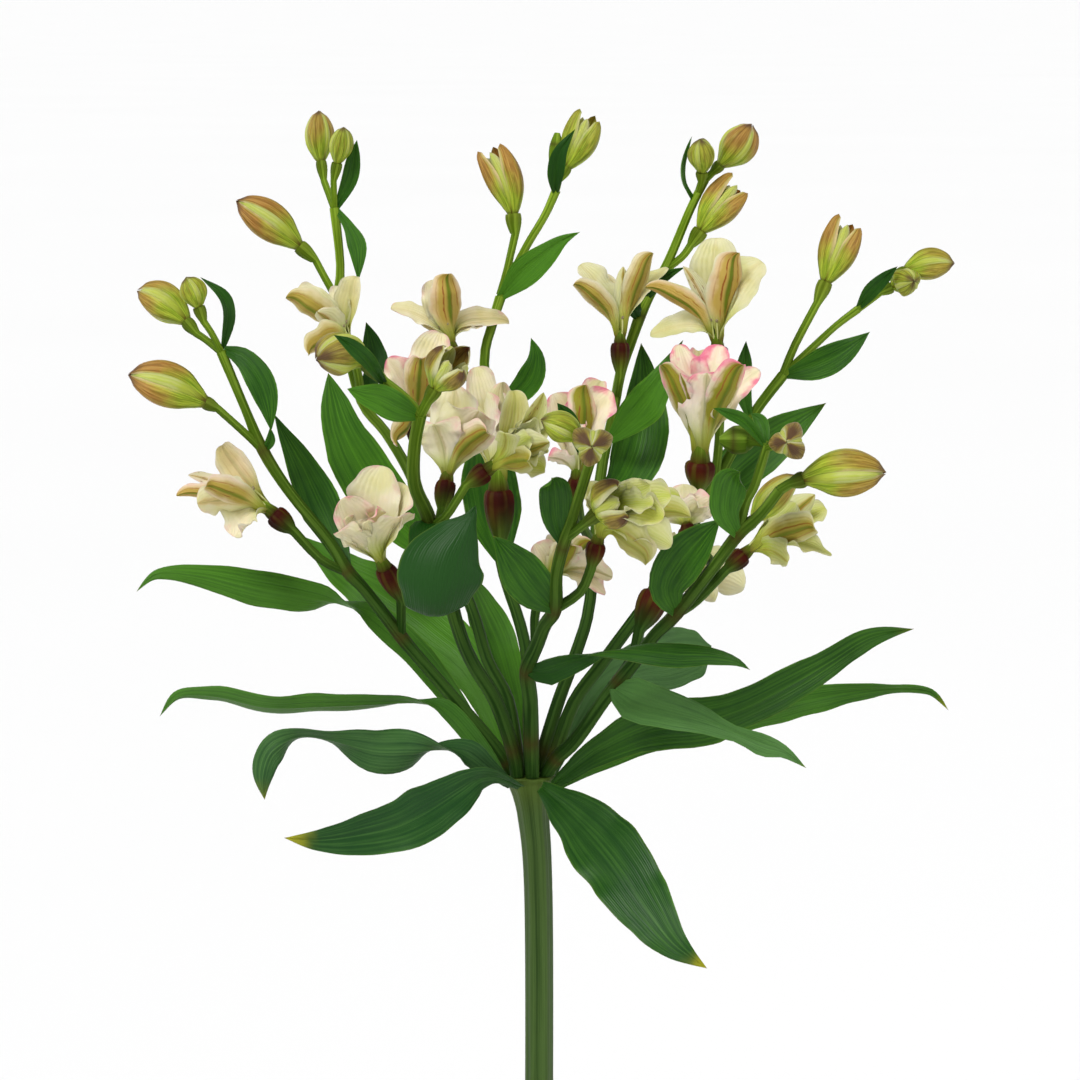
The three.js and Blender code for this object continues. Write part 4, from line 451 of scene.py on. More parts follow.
class Work:
    """A piece on the bench: a mesh in millimetres with the attributes that its finish reads."""

    def __init__(self):
        self.bm = bmesh.new()
        self.skin = self.bm.verts.layers.float_vector.new("skin")
        self.mood = self.bm.verts.layers.float_color.new("mood")

    def tube(self, points, radii, sides, moods, start=None, rib=None, material=0):
        """Extrudes a circle along points. rib(angle) swells it, and moods gives a tone per point."""
        bm = self.bm
        posed = [turn @ Matrix.Scale(radius, 4) for turn, radius in zip(frames(points, start), radii)]
        ring = bmesh.ops.create_circle(bm, cap_ends=True, segments=sides, radius=1)["verts"]
        edges = list({edge for vert in ring for edge in vert.link_edges})
        faces = list(ring[0].link_faces)
        for vert in ring:
            angle = math.atan2(vert.co.y, vert.co.x)
            vert[self.skin] = (math.cos(angle), math.sin(angle), 0)
            vert[self.mood] = moods[0]
            vert.co *= rib(angle) if rib else 1
        bmesh.ops.transform(bm, matrix=posed[0], verts=ring)
        length = 0
        for k in range(1, len(points)):
            length += (points[k] - points[k - 1]).length
            grown = bmesh.ops.extrude_edge_only(bm, edges=edges)["geom"]
            ring = [item for item in grown if isinstance(item, bmesh.types.BMVert)]
            kept = set(ring)
            edges = [item for item in grown
                     if isinstance(item, bmesh.types.BMEdge) and kept.issuperset(item.verts)]
            faces += [item for item in grown if isinstance(item, bmesh.types.BMFace)]
            bmesh.ops.transform(bm, matrix=posed[k] @ posed[k - 1].inverted(), verts=ring)
            for vert in ring:
                vert[self.skin] = (*vert[self.skin][:2], length)
                vert[self.mood] = moods[k]
        faces += bmesh.ops.contextual_create(bm, geom=edges)["faces"]
        for face in faces:
            face.material_index = material

    def blade(self, place, columns, rows, mood, material=0):
        """Welds two grids into a thin closed blade. place(across, row, face) puts their points."""
        bm = self.bm
        rim = []
        for face in (1, -1):
            verts = bmesh.ops.create_grid(bm, x_segments=columns, y_segments=rows, size=1)["verts"]
            faces = list({near for vert in verts for near in vert.link_faces})
            for vert in verts:
                across, share = vert.co.x, (vert.co.y + 1) / 2
                row = round(share * rows)
                vert.co = place(across, row, face)
                vert[self.skin] = (across, share, face)
                vert[self.mood] = mood
            for near in faces:
                near.material_index = material
            if face < 0:
                bmesh.ops.reverse_faces(bm, faces=faces)
            rim += [vert for vert in verts if vert.is_boundary]
        bmesh.ops.remove_doubles(bm, verts=rim, dist=WELD)

    def hand_over(self, name, slot, materials, nodes):
        """Turns the workpiece into an object in metres that stands for CAD nodes."""
        bmesh.ops.recalc_face_normals(self.bm, faces=self.bm.faces)
        bmesh.ops.scale(self.bm, vec=(MM, MM, MM), verts=self.bm.verts)
        mesh = bpy.data.meshes.new(name)
        self.bm.to_mesh(mesh)
        self.bm.free()
        mesh.shade_smooth()
        mesh.set_sharp_from_angle(angle=KNIFE)
        for material in materials:
            mesh.materials.append(material)
        piece = bpy.data.objects.new(name, mesh)
        bpy.context.scene.collection.objects.link(piece)
        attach(piece, "root")
        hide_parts(*nodes)
        return piece


# %% [markdown]
# ## Shader maths as Python
# A finish is a network of nodes. Wiring sums by hand hides what they say, so a small class wraps a socket
# and turns sums into Math nodes. Everything else, such as noise or a bump, comes from one method that
# takes the kind of node, its settings and the values or wires of its sockets.

# %% Wires and finishes
class Wire:
    """A socket that carries a number. Sums with it add Math nodes."""

    def __init__(self, finish, socket):
        self.finish = finish
        self.socket = socket

    def math(self, operation, *values):
        """Adds a Math node that takes the values in turn."""
        return self.finish.node("Math", {"operation": operation}, dict(enumerate(values)))

    def __add__(self, other):
        return self.math("ADD", self, other)

    def __sub__(self, other):
        return self.math("SUBTRACT", self, other)

    def __rsub__(self, other):
        return self.math("SUBTRACT", other, self)

    def __mul__(self, other):
        return self.math("MULTIPLY", self, other)

    def size(self):
        return self.math("ABSOLUTE", self)

    def sine(self):
        return self.math("SINE", self)

    def step(self, low, high):
        """A smooth step from 0 at low to 1 at high, or down if high is the smaller."""
        turned = low > high
        first, last = (high, low) if turned else (low, high)
        made = self.finish.node("MapRange", {"interpolation_type": "SMOOTHSTEP"},
                                {"Value": self, "From Min": first, "From Max": last})
        return 1 - made if turned else made

    __radd__ = __add__
    __rmul__ = __mul__


class Finish:
    """A material under construction. The named constants go to the shader's own sockets."""

    def __init__(self, name, **constants):
        self.material = bpy.data.materials.new(name)
        self.material.use_nodes = True
        self.tree = self.material.node_tree
        self.shader = self.tree.nodes["Principled BSDF"]
        for socket, value in constants.items():
            self.shader.inputs[socket.replace("_", " ")].default_value = value

    def node(self, kind, settings=None, values=None, out=0):
        """Adds a node and returns the wire of one of its outputs, or several for a tuple."""
        made = self.tree.nodes.new("ShaderNode" + kind)
        for key, value in (settings or {}).items():
            setattr(made, key, value)
        for key, value in (values or {}).items():
            self.feed(made.inputs[key], value)
        if isinstance(out, tuple):
            return [Wire(self, made.outputs[key]) for key in out]
        return Wire(self, made.outputs[out])

    def feed(self, socket, value):
        """Links a wire to a socket, or sets the socket to a value."""
        if isinstance(value, Wire):
            self.tree.links.new(value.socket, socket)
        elif isinstance(value, tuple) and len(value) == 3 and len(socket.default_value) == 4:
            socket.default_value = (*value, 1)
        else:
            socket.default_value = value

    def read(self, attribute):
        """The three numbers of a vector attribute and the fourth of a colour."""
        vector, alpha = self.node("Attribute", {"attribute_name": attribute}, out=("Vector", "Alpha"))
        return [*self.node("SeparateXYZ", values={0: vector}, out=(0, 1, 2)), alpha]

    def blend(self, share, first, second):
        """A colour between two others."""
        return self.node("Mix", {"data_type": "RGBA"}, {0: share, 6: first, 7: second}, out=2)

    def spot(self, scale, detail=2, vector=None, stretch=None):
        """Soft noise between 0 and 1 in the piece's own metres, or along a given vector."""
        place = vector or self.node("TexCoord", out="Object")
        if stretch:
            place = self.node("Mapping", values={0: place, "Scale": stretch})
        return self.node("TexNoise", values={"Vector": place, "Scale": scale, "Detail": detail})

    def done(self, colour, roughness=None, height=None, strength=0.3, distance=MM):
        """Feeds the shader and returns the material."""
        self.feed(self.shader.inputs["Base Color"], colour)
        if roughness:
            self.feed(self.shader.inputs["Roughness"], roughness)
        if height:
            bump = {"Height": height, "Strength": strength, "Distance": distance}
            self.feed(self.shader.inputs["Normal"], self.node("Bump", values=bump))
        print("finish:", self.material.name, len(self.tree.nodes), "nodes")
        return self.material

# %% [markdown]
# ## The green finishes
# A lily leaf has many fine veins side by side and a satin skin. It is darkest along the veins' grooves,
# its underside is paler, and its tip often turns yellow and brown. The mood of a leaf holds how pale, how
# blue and how yellow-tipped it is. Stalks carry broad pale and dark bands all the way up. The young ones
# are bright lime, the joints are brownish, and the ovaries under the flowers are maroon with green ribs.

# %% Leaves
DEEP_GREEN, DEEP_BLUE_GREEN = (0.008, 0.05, 0.0012), (0.009, 0.046, 0.011)
PALE_GREEN, PALE_BLUE_GREEN = (0.06, 0.19, 0.008), (0.065, 0.16, 0.04)
LEAF_RIM, YELLOW_TIP, BURNT_TIP = (0.16, 0.24, 0.02), (0.3, 0.29, 0.01), (0.12, 0.04, 0.005)
COARSE_VEINS, FINE_VEINS = 43, 97


def leaf_finish():
    finish = Finish("lily_leaf", Roughness=0.4, Specular_IOR_Level=0.16)
    across, share, side, _ = finish.read("skin")
    pale, blue, tip, _ = finish.read("mood")
    cloud = finish.spot(45, 3)
    drift = finish.spot(130, 2)
    width = across.size()
    coarse = (across * COARSE_VEINS + drift * 3).sine() * 0.5 + 0.5
    fine = (across * FINE_VEINS + cloud * 5).sine() * 0.5 + 0.5
    vein = coarse * 0.5 + fine * 0.5
    strap = finish.node("CombineXYZ", values={0: across * 3, 1: share * 0.9})
    streak = finish.spot(2.4, 3, vector=strap)
    midrib = width.step(0.07, 0.01)
    dark = finish.blend(blue, DEEP_GREEN, DEEP_BLUE_GREEN)
    light = finish.blend(blue, PALE_GREEN, PALE_BLUE_GREEN)
    ground = (pale * 0.7 + vein * 0.12 + (cloud - 0.5) * 0.8 + (streak - 0.5) * 1.3 + midrib * 0.2
              + side.step(0.2, -0.2) * 0.2)
    colour = finish.blend(ground.step(-0.05, 1.15), dark, light)
    colour = finish.blend(width.step(0.94, 1.0) * (0.35 - blue * 0.3), colour, LEAF_RIM)
    ripe = (share + (drift - 0.5) * 0.12 + tip * 0.1).step(0.92, 1.06) * tip
    colour = finish.blend(ripe, colour, YELLOW_TIP)
    burnt = share.step(0.96, 0.992) * tip
    colour = finish.blend(burnt, colour, BURNT_TIP)
    rough = cloud * 0.2 + fine * 0.08 + 0.27
    return finish.done(colour, rough, vein * 0.4 + cloud + streak, strength=0.45, distance=0.0005)


LEAF = leaf_finish()


# %% Stalks and ovaries
STALK_DARK, LIME_DARK = (0.009, 0.034, 0.002), (0.08, 0.15, 0.003)
STALK_LIGHT, LIME_LIGHT = (0.04, 0.095, 0.014), (0.24, 0.36, 0.03)
MAROON_DARK, MAROON_LIGHT = (0.018, 0.002, 0.001), (0.065, 0.009, 0.003)
JOINT_BROWN, OVARY_RIB = (0.045, 0.034, 0.006), (0.08, 0.06, 0.006)
OVARY_RIBS = 6


def stalk_finish():
    finish = Finish("lily_stalk", Roughness=0.55, Specular_IOR_Level=0.06)
    east, north, length, _ = finish.read("skin")
    lime, joint, maroon, _ = finish.read("mood")
    ring = finish.node("CombineXYZ", values={0: east, 1: north, 2: length * 0.012})
    band = finish.spot(1.6, 1, vector=ring)
    thread = finish.spot(6, 1, vector=ring)
    cloud = finish.spot(60, 3)
    stripe = band.step(0.42, 0.58) * 0.7 + thread.step(0.35, 0.7) * 0.3
    dark = finish.blend(lime, STALK_DARK, LIME_DARK)
    light = finish.blend(lime, STALK_LIGHT, LIME_LIGHT)
    colour = finish.blend(stripe * 0.9 + (cloud - 0.5) * 0.6, dark, light)
    colour = finish.blend(joint * 0.75, colour, JOINT_BROWN)
    ribs = (finish.node("Math", {"operation": "ARCTAN2"}, {0: north, 1: east}) * OVARY_RIBS).sine()
    skin = finish.blend(cloud.step(0.35, 0.7), MAROON_DARK, MAROON_LIGHT)
    flesh = finish.blend(ribs.step(0.3, 1.0) * cloud.step(0.35, 0.65) * 0.7, skin, OVARY_RIB)
    colour = finish.blend(maroon, colour, flesh)
    return finish.done(colour, cloud * 0.2 + 0.5, stripe + thread * 0.5, strength=0.4, distance=0.0003)


STALK = stalk_finish()


# %% The stem
STEM_DARK, STEM_LIGHT = (0.011, 0.034, 0.002), (0.06, 0.11, 0.024)
STEM_TOP, SOILED = (0.07, 0.11, 0.01), (0.07, 0.06, 0.03)
TOP_BAND = (262, 276)  # millimetres up the stem between which it turns to the paler top
SPLASHED = (66, 52)  # and between which soil has splashed it


def stem_finish():
    finish = Finish("lily_stem", Roughness=0.5, Specular_IOR_Level=0.12)
    east, north, length, _ = finish.read("skin")
    ring = finish.node("CombineXYZ", values={0: east, 1: north, 2: length * 0.0022})
    band = finish.spot(1.5, 1, vector=ring)
    thread = finish.spot(9, 2, vector=ring)
    cloud = finish.spot(35, 3)
    stripe = band.step(0.32, 0.64) * 0.55 + thread.step(0.3, 0.7) * 0.45
    colour = finish.blend(stripe + (cloud - 0.5) * 0.35, STEM_DARK, STEM_LIGHT)
    colour = finish.blend(length.step(*TOP_BAND) * 0.6, colour, STEM_TOP)
    colour = finish.blend(length.step(*SPLASHED) * 0.6, colour, SOILED)
    return finish.done(colour, cloud * 0.2 + 0.35, stripe + thread, strength=0.35, distance=0.0005)


STEM = stem_finish()

# %% [markdown]
# ## The petals' finishes
# A Peruvian lily has three broad outer petals and three narrow inner ones, and a double bloom has more.
# The outer ones carry an olive keel with darker lines on the outside. The inner ones are flecked with
# maroon dashes. All of them are lime at the claw, cream in the middle and pink at the rims, and how much of
# each shows differs from flower to flower: the mood of a petal holds its blush, lime, keel and ochre.
# Petals let light through, so a little of it is scattered inside them.

# %% The colours of a petal
CREAM, WARM_CREAM = (0.49, 0.48, 0.2), (0.7, 0.61, 0.37)
IVORY, WARM_WHITE = (0.6, 0.58, 0.35), (0.86, 0.77, 0.6)
LIME_GREEN, PINK_VEIL, ROSE = (0.36, 0.42, 0.045), (0.72, 0.42, 0.36), (0.72, 0.15, 0.25)
OLIVE, OCHRE, KEEL_HALO = (0.22, 0.22, 0.012), (0.42, 0.29, 0.065), (0.62, 0.3, 0.17)
KEEL_THREAD, KEEL_MIDDLE, SPECK = (0.24, 0.08, 0.015), (0.12, 0.16, 0.008), (0.16, 0.01, 0.012)
CLAW_GREEN, CLAW_BROWN, HARD_TIP = (0.17, 0.18, 0.008), (0.07, 0.015, 0.004), (0.08, 0.09, 0.008)
FLESH_GLOW = (1.0, 0.8, 0.5)  # how far red, green and blue light spread inside a petal
print("a petal goes from", CREAM, "to", WARM_WHITE)


# %% Petals
def petal_finish(name, keel_width, keel_inside, flecks):
    finish = Finish(name, Roughness=0.5, Specular_IOR_Level=0.15,
                    Subsurface_Weight=0.3, Subsurface_Scale=0.003)
    finish.shader.inputs["Subsurface Radius"].default_value = FLESH_GLOW
    across, share, side, _ = finish.read("skin")
    blush, lime, keel, ochre = finish.read("mood")
    cloud = finish.spot(90, 3)
    drift = finish.spot(260, 2)
    width = across.size()
    outside = side.step(0.3, -0.3)
    veins = (across * 31 + drift * 5).sine() * 0.5 + 0.5
    cream = finish.blend(blush, CREAM, WARM_CREAM)
    white = finish.blend(blush, IVORY, WARM_WHITE)
    colour = finish.blend(cloud.step(0.3, 0.65), cream, white)
    green = (lime * (1.25 - width * 0.65) * (0.55 + veins * 0.12) + share.step(0.5, 0.1) * 0.6
             + (cloud - 0.5) * 1.2 * lime)
    colour = finish.blend(green.step(0.05, 0.95), colour, LIME_GREEN)
    reach = width * 0.45 + share * 0.75 + (drift - 0.5) * 0.9 + (cloud - 0.5) * 0.8
    veil = cloud.step(0.4, 0.7) * share.step(0.15, 0.6) * blush * 0.5
    colour = finish.blend(veil, colour, PINK_VEIL)
    colour = finish.blend((reach + blush * 0.35).step(1.03, 1.5) * blush, colour, ROSE)
    mark = keel * 1.6 * (outside * (1 - keel_inside) + keel_inside) * share.step(0.08, 0.35)
    tan = finish.blend(ochre, OLIVE, OCHRE)
    uneven = width + (drift - 0.5) * 0.4 + (cloud - 0.5) * 0.35
    halo = uneven.step(keel_width * 2.3, keel_width * 1.5) * ochre
    colour = finish.blend(halo * mark * 0.35, colour, KEEL_HALO)
    field = uneven.step(keel_width * 1.8, keel_width * 0.6)
    colour = finish.blend(field * mark * 0.85, colour, tan)
    threads = (across * 17 + (drift - 0.5) * 3).sine().step(0.6, 1.0)
    threads = threads * (cloud + drift - 0.5).step(0.3, 0.6)
    colour = finish.blend(threads * field * mark * 0.65, colour, KEEL_THREAD)
    middle = (width + (drift - 0.5) * 0.1).step(keel_width * 0.4, 0.0)
    colour = finish.blend(middle * mark * 0.75, colour, KEEL_MIDDLE)
    dashes = finish.node("CombineXYZ", values={0: across * 4.2, 1: share * 3.4, 2: side})
    speck = finish.spot(3.2, 0, vector=dashes).step(0.7, 0.75)
    speck = speck * share.step(0.25, 0.4) * share.step(0.9, 0.7)
    colour = finish.blend(speck * (1 - outside) * flecks, colour, SPECK)
    colour = finish.blend(share.step(0.26, 0.04) * 0.9, colour, CLAW_GREEN)
    colour = finish.blend(share.step(0.1, 0.0) * 0.8, colour, CLAW_BROWN)
    tip = share.step(0.92, 1.0) * keel * width.step(0.8, 0.3)
    colour = finish.blend(tip * 0.9, colour, HARD_TIP)
    rough = cloud * 0.2 + 0.4
    grain = veins * 0.5 + cloud * 0.9 + drift * 0.4
    return finish.done(colour, rough, grain, strength=0.4, distance=0.0004)


OUTER = petal_finish("outer_petal", 0.5, 0.25, 0.0)
NARROW = petal_finish("narrow_petal", 0.16, 0.5, 0.95)
BROAD = petal_finish("broad_petal", 0.12, 0.2, 0.0)


# %% Buds
BUD_GREEN, BUD_LIME = (0.12, 0.21, 0.004), (0.42, 0.5, 0.04)
BUD_OCHRE, BUD_BUFF = (0.22, 0.085, 0.01), (0.5, 0.29, 0.07)
BUD_THREAD, BUD_CENTRE, BUD_FOOT = (0.13, 0.05, 0.005), (0.11, 0.13, 0.006), (0.06, 0.04, 0.006)
TAUPE, PALE_TAUPE, BROWN_TIP = (0.1, 0.06, 0.016), (0.24, 0.16, 0.045), (0.085, 0.042, 0.022)
YOUNG_RIM, RIPE_RIM, OLD_RIM = (0.4, 0.42, 0.1), (0.62, 0.42, 0.22), (0.6, 0.56, 0.33)


def bud_finish():
    finish = Finish("closed_bud", Roughness=0.42, Specular_IOR_Level=0.15,
                    Subsurface_Weight=0.1, Subsurface_Scale=0.003)
    across, share, side, _ = finish.read("skin")
    ripe, brown, light, _ = finish.read("mood")
    cloud = finish.spot(110, 3)
    drift = finish.spot(260, 2)
    width = across.size()
    strand = finish.node("CombineXYZ", values={0: across * 5, 1: share * 1.1, 2: cloud})
    fibre = finish.spot(2.2, 3, vector=strand).step(0.22, 0.78)
    lime = finish.blend(fibre, BUD_GREEN, BUD_LIME)
    ochre = finish.blend(fibre, BUD_OCHRE, BUD_BUFF)
    spread = (share - width * 0.25 + (cloud - 0.5) * 0.6).step(0.08, 0.62) * width.step(1.05, 0.6)
    colour = finish.blend(spread * ripe, lime, ochre)
    threads = (across * 16 + (drift - 0.5) * 2).sine().step(0.5, 1.0) * cloud.step(0.3, 0.6)
    colour = finish.blend(threads * share.step(0.1, 0.5) * 0.45, colour, BUD_THREAD)
    centre = width.step(0.16, 0.04) * share.step(0.95, 0.6)
    colour = finish.blend(centre * 0.4, colour, BUD_CENTRE)
    upper = (share + (cloud - 0.5) * 0.4).step(0.25, 0.7)
    taupe = brown * upper * (width + (drift - 0.5) * 0.2).step(0.75, 0.4)
    colour = finish.blend(taupe * 0.85, colour, finish.blend(fibre, TAUPE, PALE_TAUPE))
    pale = (width + (drift - 0.5) * 0.2 + brown * 0.1).step(0.7, 1.0) * share.step(0.2, 0.6)
    rim = finish.blend(brown, finish.blend(ripe, YOUNG_RIM, RIPE_RIM), OLD_RIM)
    colour = finish.blend(pale * 0.85, colour, rim)
    tip = (share + (drift - 0.5) * 0.1 - width * 0.06 + brown * 0.14).step(0.84, 1.0)
    tip = tip * (1 - brown * width.step(0.3, 0.6) * 0.9) * (1 - light)
    colour = finish.blend(tip * 0.9, colour, BROWN_TIP)
    colour = finish.blend(share.step(0.08, 0.0) * 0.7, colour, BUD_FOOT)
    return finish.done(colour, cloud * 0.2 + 0.32, fibre + cloud * 0.4, strength=0.5, distance=0.0005)


BUD = bud_finish()


# %% Stamens
def stamen_finish(name, pale, dark, scale):
    finish = Finish(name, Roughness=0.6)
    grain = finish.spot(scale, 2)
    return finish.done(finish.blend(grain.step(0.3, 0.7), dark, pale), grain * 0.3 + 0.4, grain)


FILAMENT = stamen_finish("filament", (0.5, 0.5, 0.2), (0.34, 0.38, 0.08), 300)
ANTHER = stamen_finish("anther", (0.36, 0.3, 0.14), (0.17, 0.12, 0.06), 2500)

# %% [markdown]
# ## Fired clay and soil
# The pot is plain unglazed clay. It has soft turning marks from the wheel, specks of grog and a pale
# bloom of salts where water has dried. The soil is a dark mix of crumbs with a few white grains.

# %% Clay
CLAY_DARK, CLAY_LIGHT = (0.4, 0.15, 0.07), (0.5, 0.215, 0.11)
GROG, SALTS = (0.24, 0.085, 0.045), (0.62, 0.5, 0.4)


def clay_finish():
    finish = Finish("fired_clay", Roughness=0.85)
    cloud = finish.spot(22, 4)
    grog = finish.spot(1500, 2)
    turned = finish.spot(3.0, 3, stretch=(2, 2, 160))
    colour = finish.blend(cloud.step(0.3, 0.7), CLAY_DARK, CLAY_LIGHT)
    colour = finish.blend(grog.step(0.62, 0.72) * 0.5, colour, GROG)
    salts = finish.spot(13, 5).step(0.54, 0.75) * 0.4
    colour = finish.blend(salts, colour, SALTS)
    return finish.done(colour, cloud * 0.15 + 0.75, grog * 0.25 + turned, strength=0.4, distance=0.0006)


CLAY = clay_finish()


# %% Soil and white grains
def crumb_finish(name, dark, light, scale):
    finish = Finish(name, Roughness=0.95)
    cloud = finish.spot(scale, 4)
    grain = finish.spot(scale * 9, 3)
    colour = finish.blend((cloud + grain - 0.5).step(0.2, 0.85), dark, light)
    return finish.done(colour, None, cloud + grain, strength=0.9, distance=0.0008)


CRUMB = crumb_finish("potting_soil", (0.012, 0.008, 0.005), (0.06, 0.038, 0.022), 160)
GRAIN = crumb_finish("white_grain", (0.45, 0.43, 0.38), (0.8, 0.78, 0.72), 300)

# %% [markdown]
# ## The pot
# A clay pot is thrown on a wheel, so its section is drawn once and spun round the upright axis. Its rim and
# foot are rounded by extra points in the section. The small drain holes are cut from the floor by a
# Boolean, which is applied before the cutters are thrown away.

# %% Throw the pot
POT_TOP, POT_BASE, POT_HEIGHT, POT_WALL, RIM_HEIGHT, RIM_OUT, POT_FLOOR = 75, 53, 130, 5, 26, 4, 8
DRAIN_RADIUS, DRAIN_RING, DRAINS = 4, 26, 4
POT_SIDES, DRAIN_SIDES, CUTTER_DEPTH = 96, 24, 60
WAIST, RIM_FOOT = POT_TOP - RIM_OUT, POT_HEIGHT - RIM_HEIGHT
POT_SECTION = [(0, 0), (POT_BASE - 4, 0), (POT_BASE - 2, 0.2), (POT_BASE - 0.6, 0.8), (POT_BASE, 2.2),
               (57, 26), (61, 52), (64.6, 78), (WAIST - 3.2, 100), (WAIST - 3, 103.4),
               (WAIST - 1, RIM_FOOT), (POT_TOP - 1, RIM_FOOT + 0.1), (POT_TOP - 0.2, 105), (POT_TOP, 108),
               (POT_TOP, 125), (POT_TOP - 0.3, 128), (POT_TOP - 1.2, 129.5), (POT_TOP - 3, POT_HEIGHT),
               (WAIST - 2, POT_HEIGHT), (WAIST - 3.4, 129.4), (WAIST - 4.2, 128), (WAIST - 8, RIM_FOOT),
               (WAIST - 11.6, 80), (51.6, 30), (POT_BASE - POT_WALL, POT_FLOOR + 1),
               (POT_BASE - POT_WALL - 1, POT_FLOOR), (0, POT_FLOOR)]


def spun(section, steps):
    """A solid of revolution from a section whose ends lie on the axis."""
    work = Work()
    verts = [work.bm.verts.new((across, 0, height)) for across, height in section]
    edges = [work.bm.edges.new(pair) for pair in zip(verts, verts[1:])]
    bmesh.ops.spin(work.bm, geom=verts + edges, axis=(0, 0, 1), cent=(0, 0, 0), angle=2 * math.pi,
                   steps=steps, use_merge=True)
    bmesh.ops.remove_doubles(work.bm, verts=work.bm.verts, dist=WELD)
    return work


def drilled(piece, places, radius, depth):
    """The piece with upright holes at the places, cut by a Boolean that is applied at once."""
    cutter = bmesh.new()
    for x, y in places:
        bmesh.ops.create_cone(cutter, cap_ends=True, segments=DRAIN_SIDES, radius1=radius, radius2=radius,
                              depth=depth, matrix=Matrix.Translation((x, y, 0)))
    bmesh.ops.scale(cutter, vec=(MM, MM, MM), verts=cutter.verts)
    mesh = bpy.data.meshes.new("cutter")
    cutter.to_mesh(mesh)
    cutter.free()
    tool = bpy.data.objects.new("cutter", mesh)
    bpy.context.scene.collection.objects.link(tool)
    cut = piece.modifiers.new("drains", "BOOLEAN")
    cut.operation, cut.solver, cut.object = "DIFFERENCE", "EXACT", tool
    whole = bpy.data.meshes.new_from_object(piece.evaluated_get(bpy.context.evaluated_depsgraph_get()))
    piece.modifiers.clear()
    piece.data = whole
    bpy.data.objects.remove(tool)


pot = spun(POT_SECTION, POT_SIDES).hand_over("clay_pot", "clay", [CLAY], ["pot"])
corners = [math.pi * (2 * k + 1) / DRAINS for k in range(DRAINS)]
drains = [(DRAIN_RING * math.cos(angle), DRAIN_RING * math.sin(angle)) for angle in corners]
drilled(pot, drains, DRAIN_RADIUS, CUTTER_DEPTH)
print("pot faces:", len(pot.data.polygons))

# %% [markdown]
# ## The soil
# The soil is spun too, from a section with a plain hole for the stem. Its top is then pushed up and down
# at random, and small balls, squashed and turned, lie half sunk in it as crumbs and white grains.

# %% Fill the pot
SOIL_TOP, SOIL_FOOT, SOIL_RIM, SOIL_HEEL, SHOULDER = 115, 14, 61.2, 47.9, 104
HOLE, HOLE_FLOOR, HOLE_LIP = 4.85, 52.7, 0.9
SOIL_RINGS, SOIL_SIDES = 26, 110
HEAVE, HEAVE_EAST, HEAVE_NORTH = 0.8, 0.21, 0.17  # height and pace of the top's soft swells
LUMPS = (-1.1, 0.9)  # and how far its single points sink or rise
rng = random.Random(7)
top_width = SOIL_RIM - HOLE - HOLE_LIP
top_rings = [HOLE + HOLE_LIP + top_width * k / SOIL_RINGS for k in range(SOIL_RINGS + 1)]
soil_section = [(0, HOLE_FLOOR), (HOLE, HOLE_FLOOR), (HOLE, SOIL_TOP - 1)]
soil_section += [(ring, SOIL_TOP) for ring in top_rings]
soil_section += [(SOIL_RIM - 2.0, SHOULDER), (SOIL_HEEL, SOIL_FOOT), (0, SOIL_FOOT)]
soil = spun(soil_section, SOIL_SIDES)
for vert in soil.bm.verts:
    if vert.co.z > SOIL_TOP - 0.5 and vert.co.xy.length < SOIL_RIM - 0.1:
        swell = HEAVE * math.sin(vert.co.x * HEAVE_EAST) * math.cos(vert.co.y * HEAVE_NORTH)
        vert.co.z += rng.uniform(*LUMPS) + swell


# %% Crumbs and white grains
CRUMBS, WHITE_GRAINS = 620, 46
CRUMB_SIZES, CRUMB_FLAT, GRAIN_SIZES, GRAIN_FLAT = (0.5, 2.1), (0.5, 0.9), (0.6, 1.3), 0.8
STREWN = (0.012, 0.9)  # the shares of the soil's area between which they lie


def crumb(work, size, flat, material):
    """A small squashed ball at a random place on the soil, half sunk."""
    reach = math.sqrt(rng.uniform(*STREWN)) * SOIL_RIM
    angle = rng.uniform(0, 2 * math.pi)
    place = Vector((reach * math.cos(angle), reach * math.sin(angle), SOIL_TOP + rng.uniform(-0.3, 0.5)))
    turn = Matrix.Rotation(rng.uniform(0, 6), 4, (rng.random(), rng.random(), 1))
    squashed = Matrix.Diagonal((size, size * rng.uniform(0.6, 1), size * flat, 1))
    shape = Matrix.Translation(place) @ turn @ squashed
    made = bmesh.ops.create_icosphere(work.bm, subdivisions=1, radius=1, matrix=shape)["verts"]
    for vert in made:
        vert.co += Vector([rng.uniform(-0.22, 0.22) * size for _ in range(3)])
    for face in {near for vert in made for near in vert.link_faces}:
        face.material_index = material


for _ in range(CRUMBS):
    crumb(soil, rng.uniform(*CRUMB_SIZES), rng.uniform(*CRUMB_FLAT), 0)
for _ in range(WHITE_GRAINS):
    crumb(soil, rng.uniform(*GRAIN_SIZES), GRAIN_FLAT, 1)
soil_piece = soil.hand_over("soil_crumbs", "soil", [CRUMB, GRAIN], ["soil"])
print("soil faces:", len(soil_piece.data.polygons))

# %% [markdown]
# ## The stem
# The stem is a straight, faintly six-ribbed stalk. It widens into a flat collar at the whorl, where every
# leaf and every stalk begins. A ribbed circle is extruded through the same rows as the solid's, with more
# rows between them.

# %% Draw the stem
STEM_RADIUS, COLLAR, STEM_FOOT = 4.5, 8.3, 53
STEM_SPANS, STEM_SIDES, STEM_RIBS, RIB_DEPTH = 60, 36, 6, 0.055
STEM_ROWS = [[0, STEM_FOOT, STEM_RADIUS], [0, 135, STEM_RADIUS], [0, 205, STEM_RADIUS],
             [0, 270, STEM_RADIUS], [-0.6, 300, STEM_RADIUS * 1.02], [-1.9, 316, STEM_RADIUS * 1.12],
             [-2.6, 323, STEM_RADIUS * 1.3], [-3, 327, COLLAR * 0.84], [-3, 329.2, COLLAR * 0.98],
             [-3, 330, COLLAR * 0.97]]


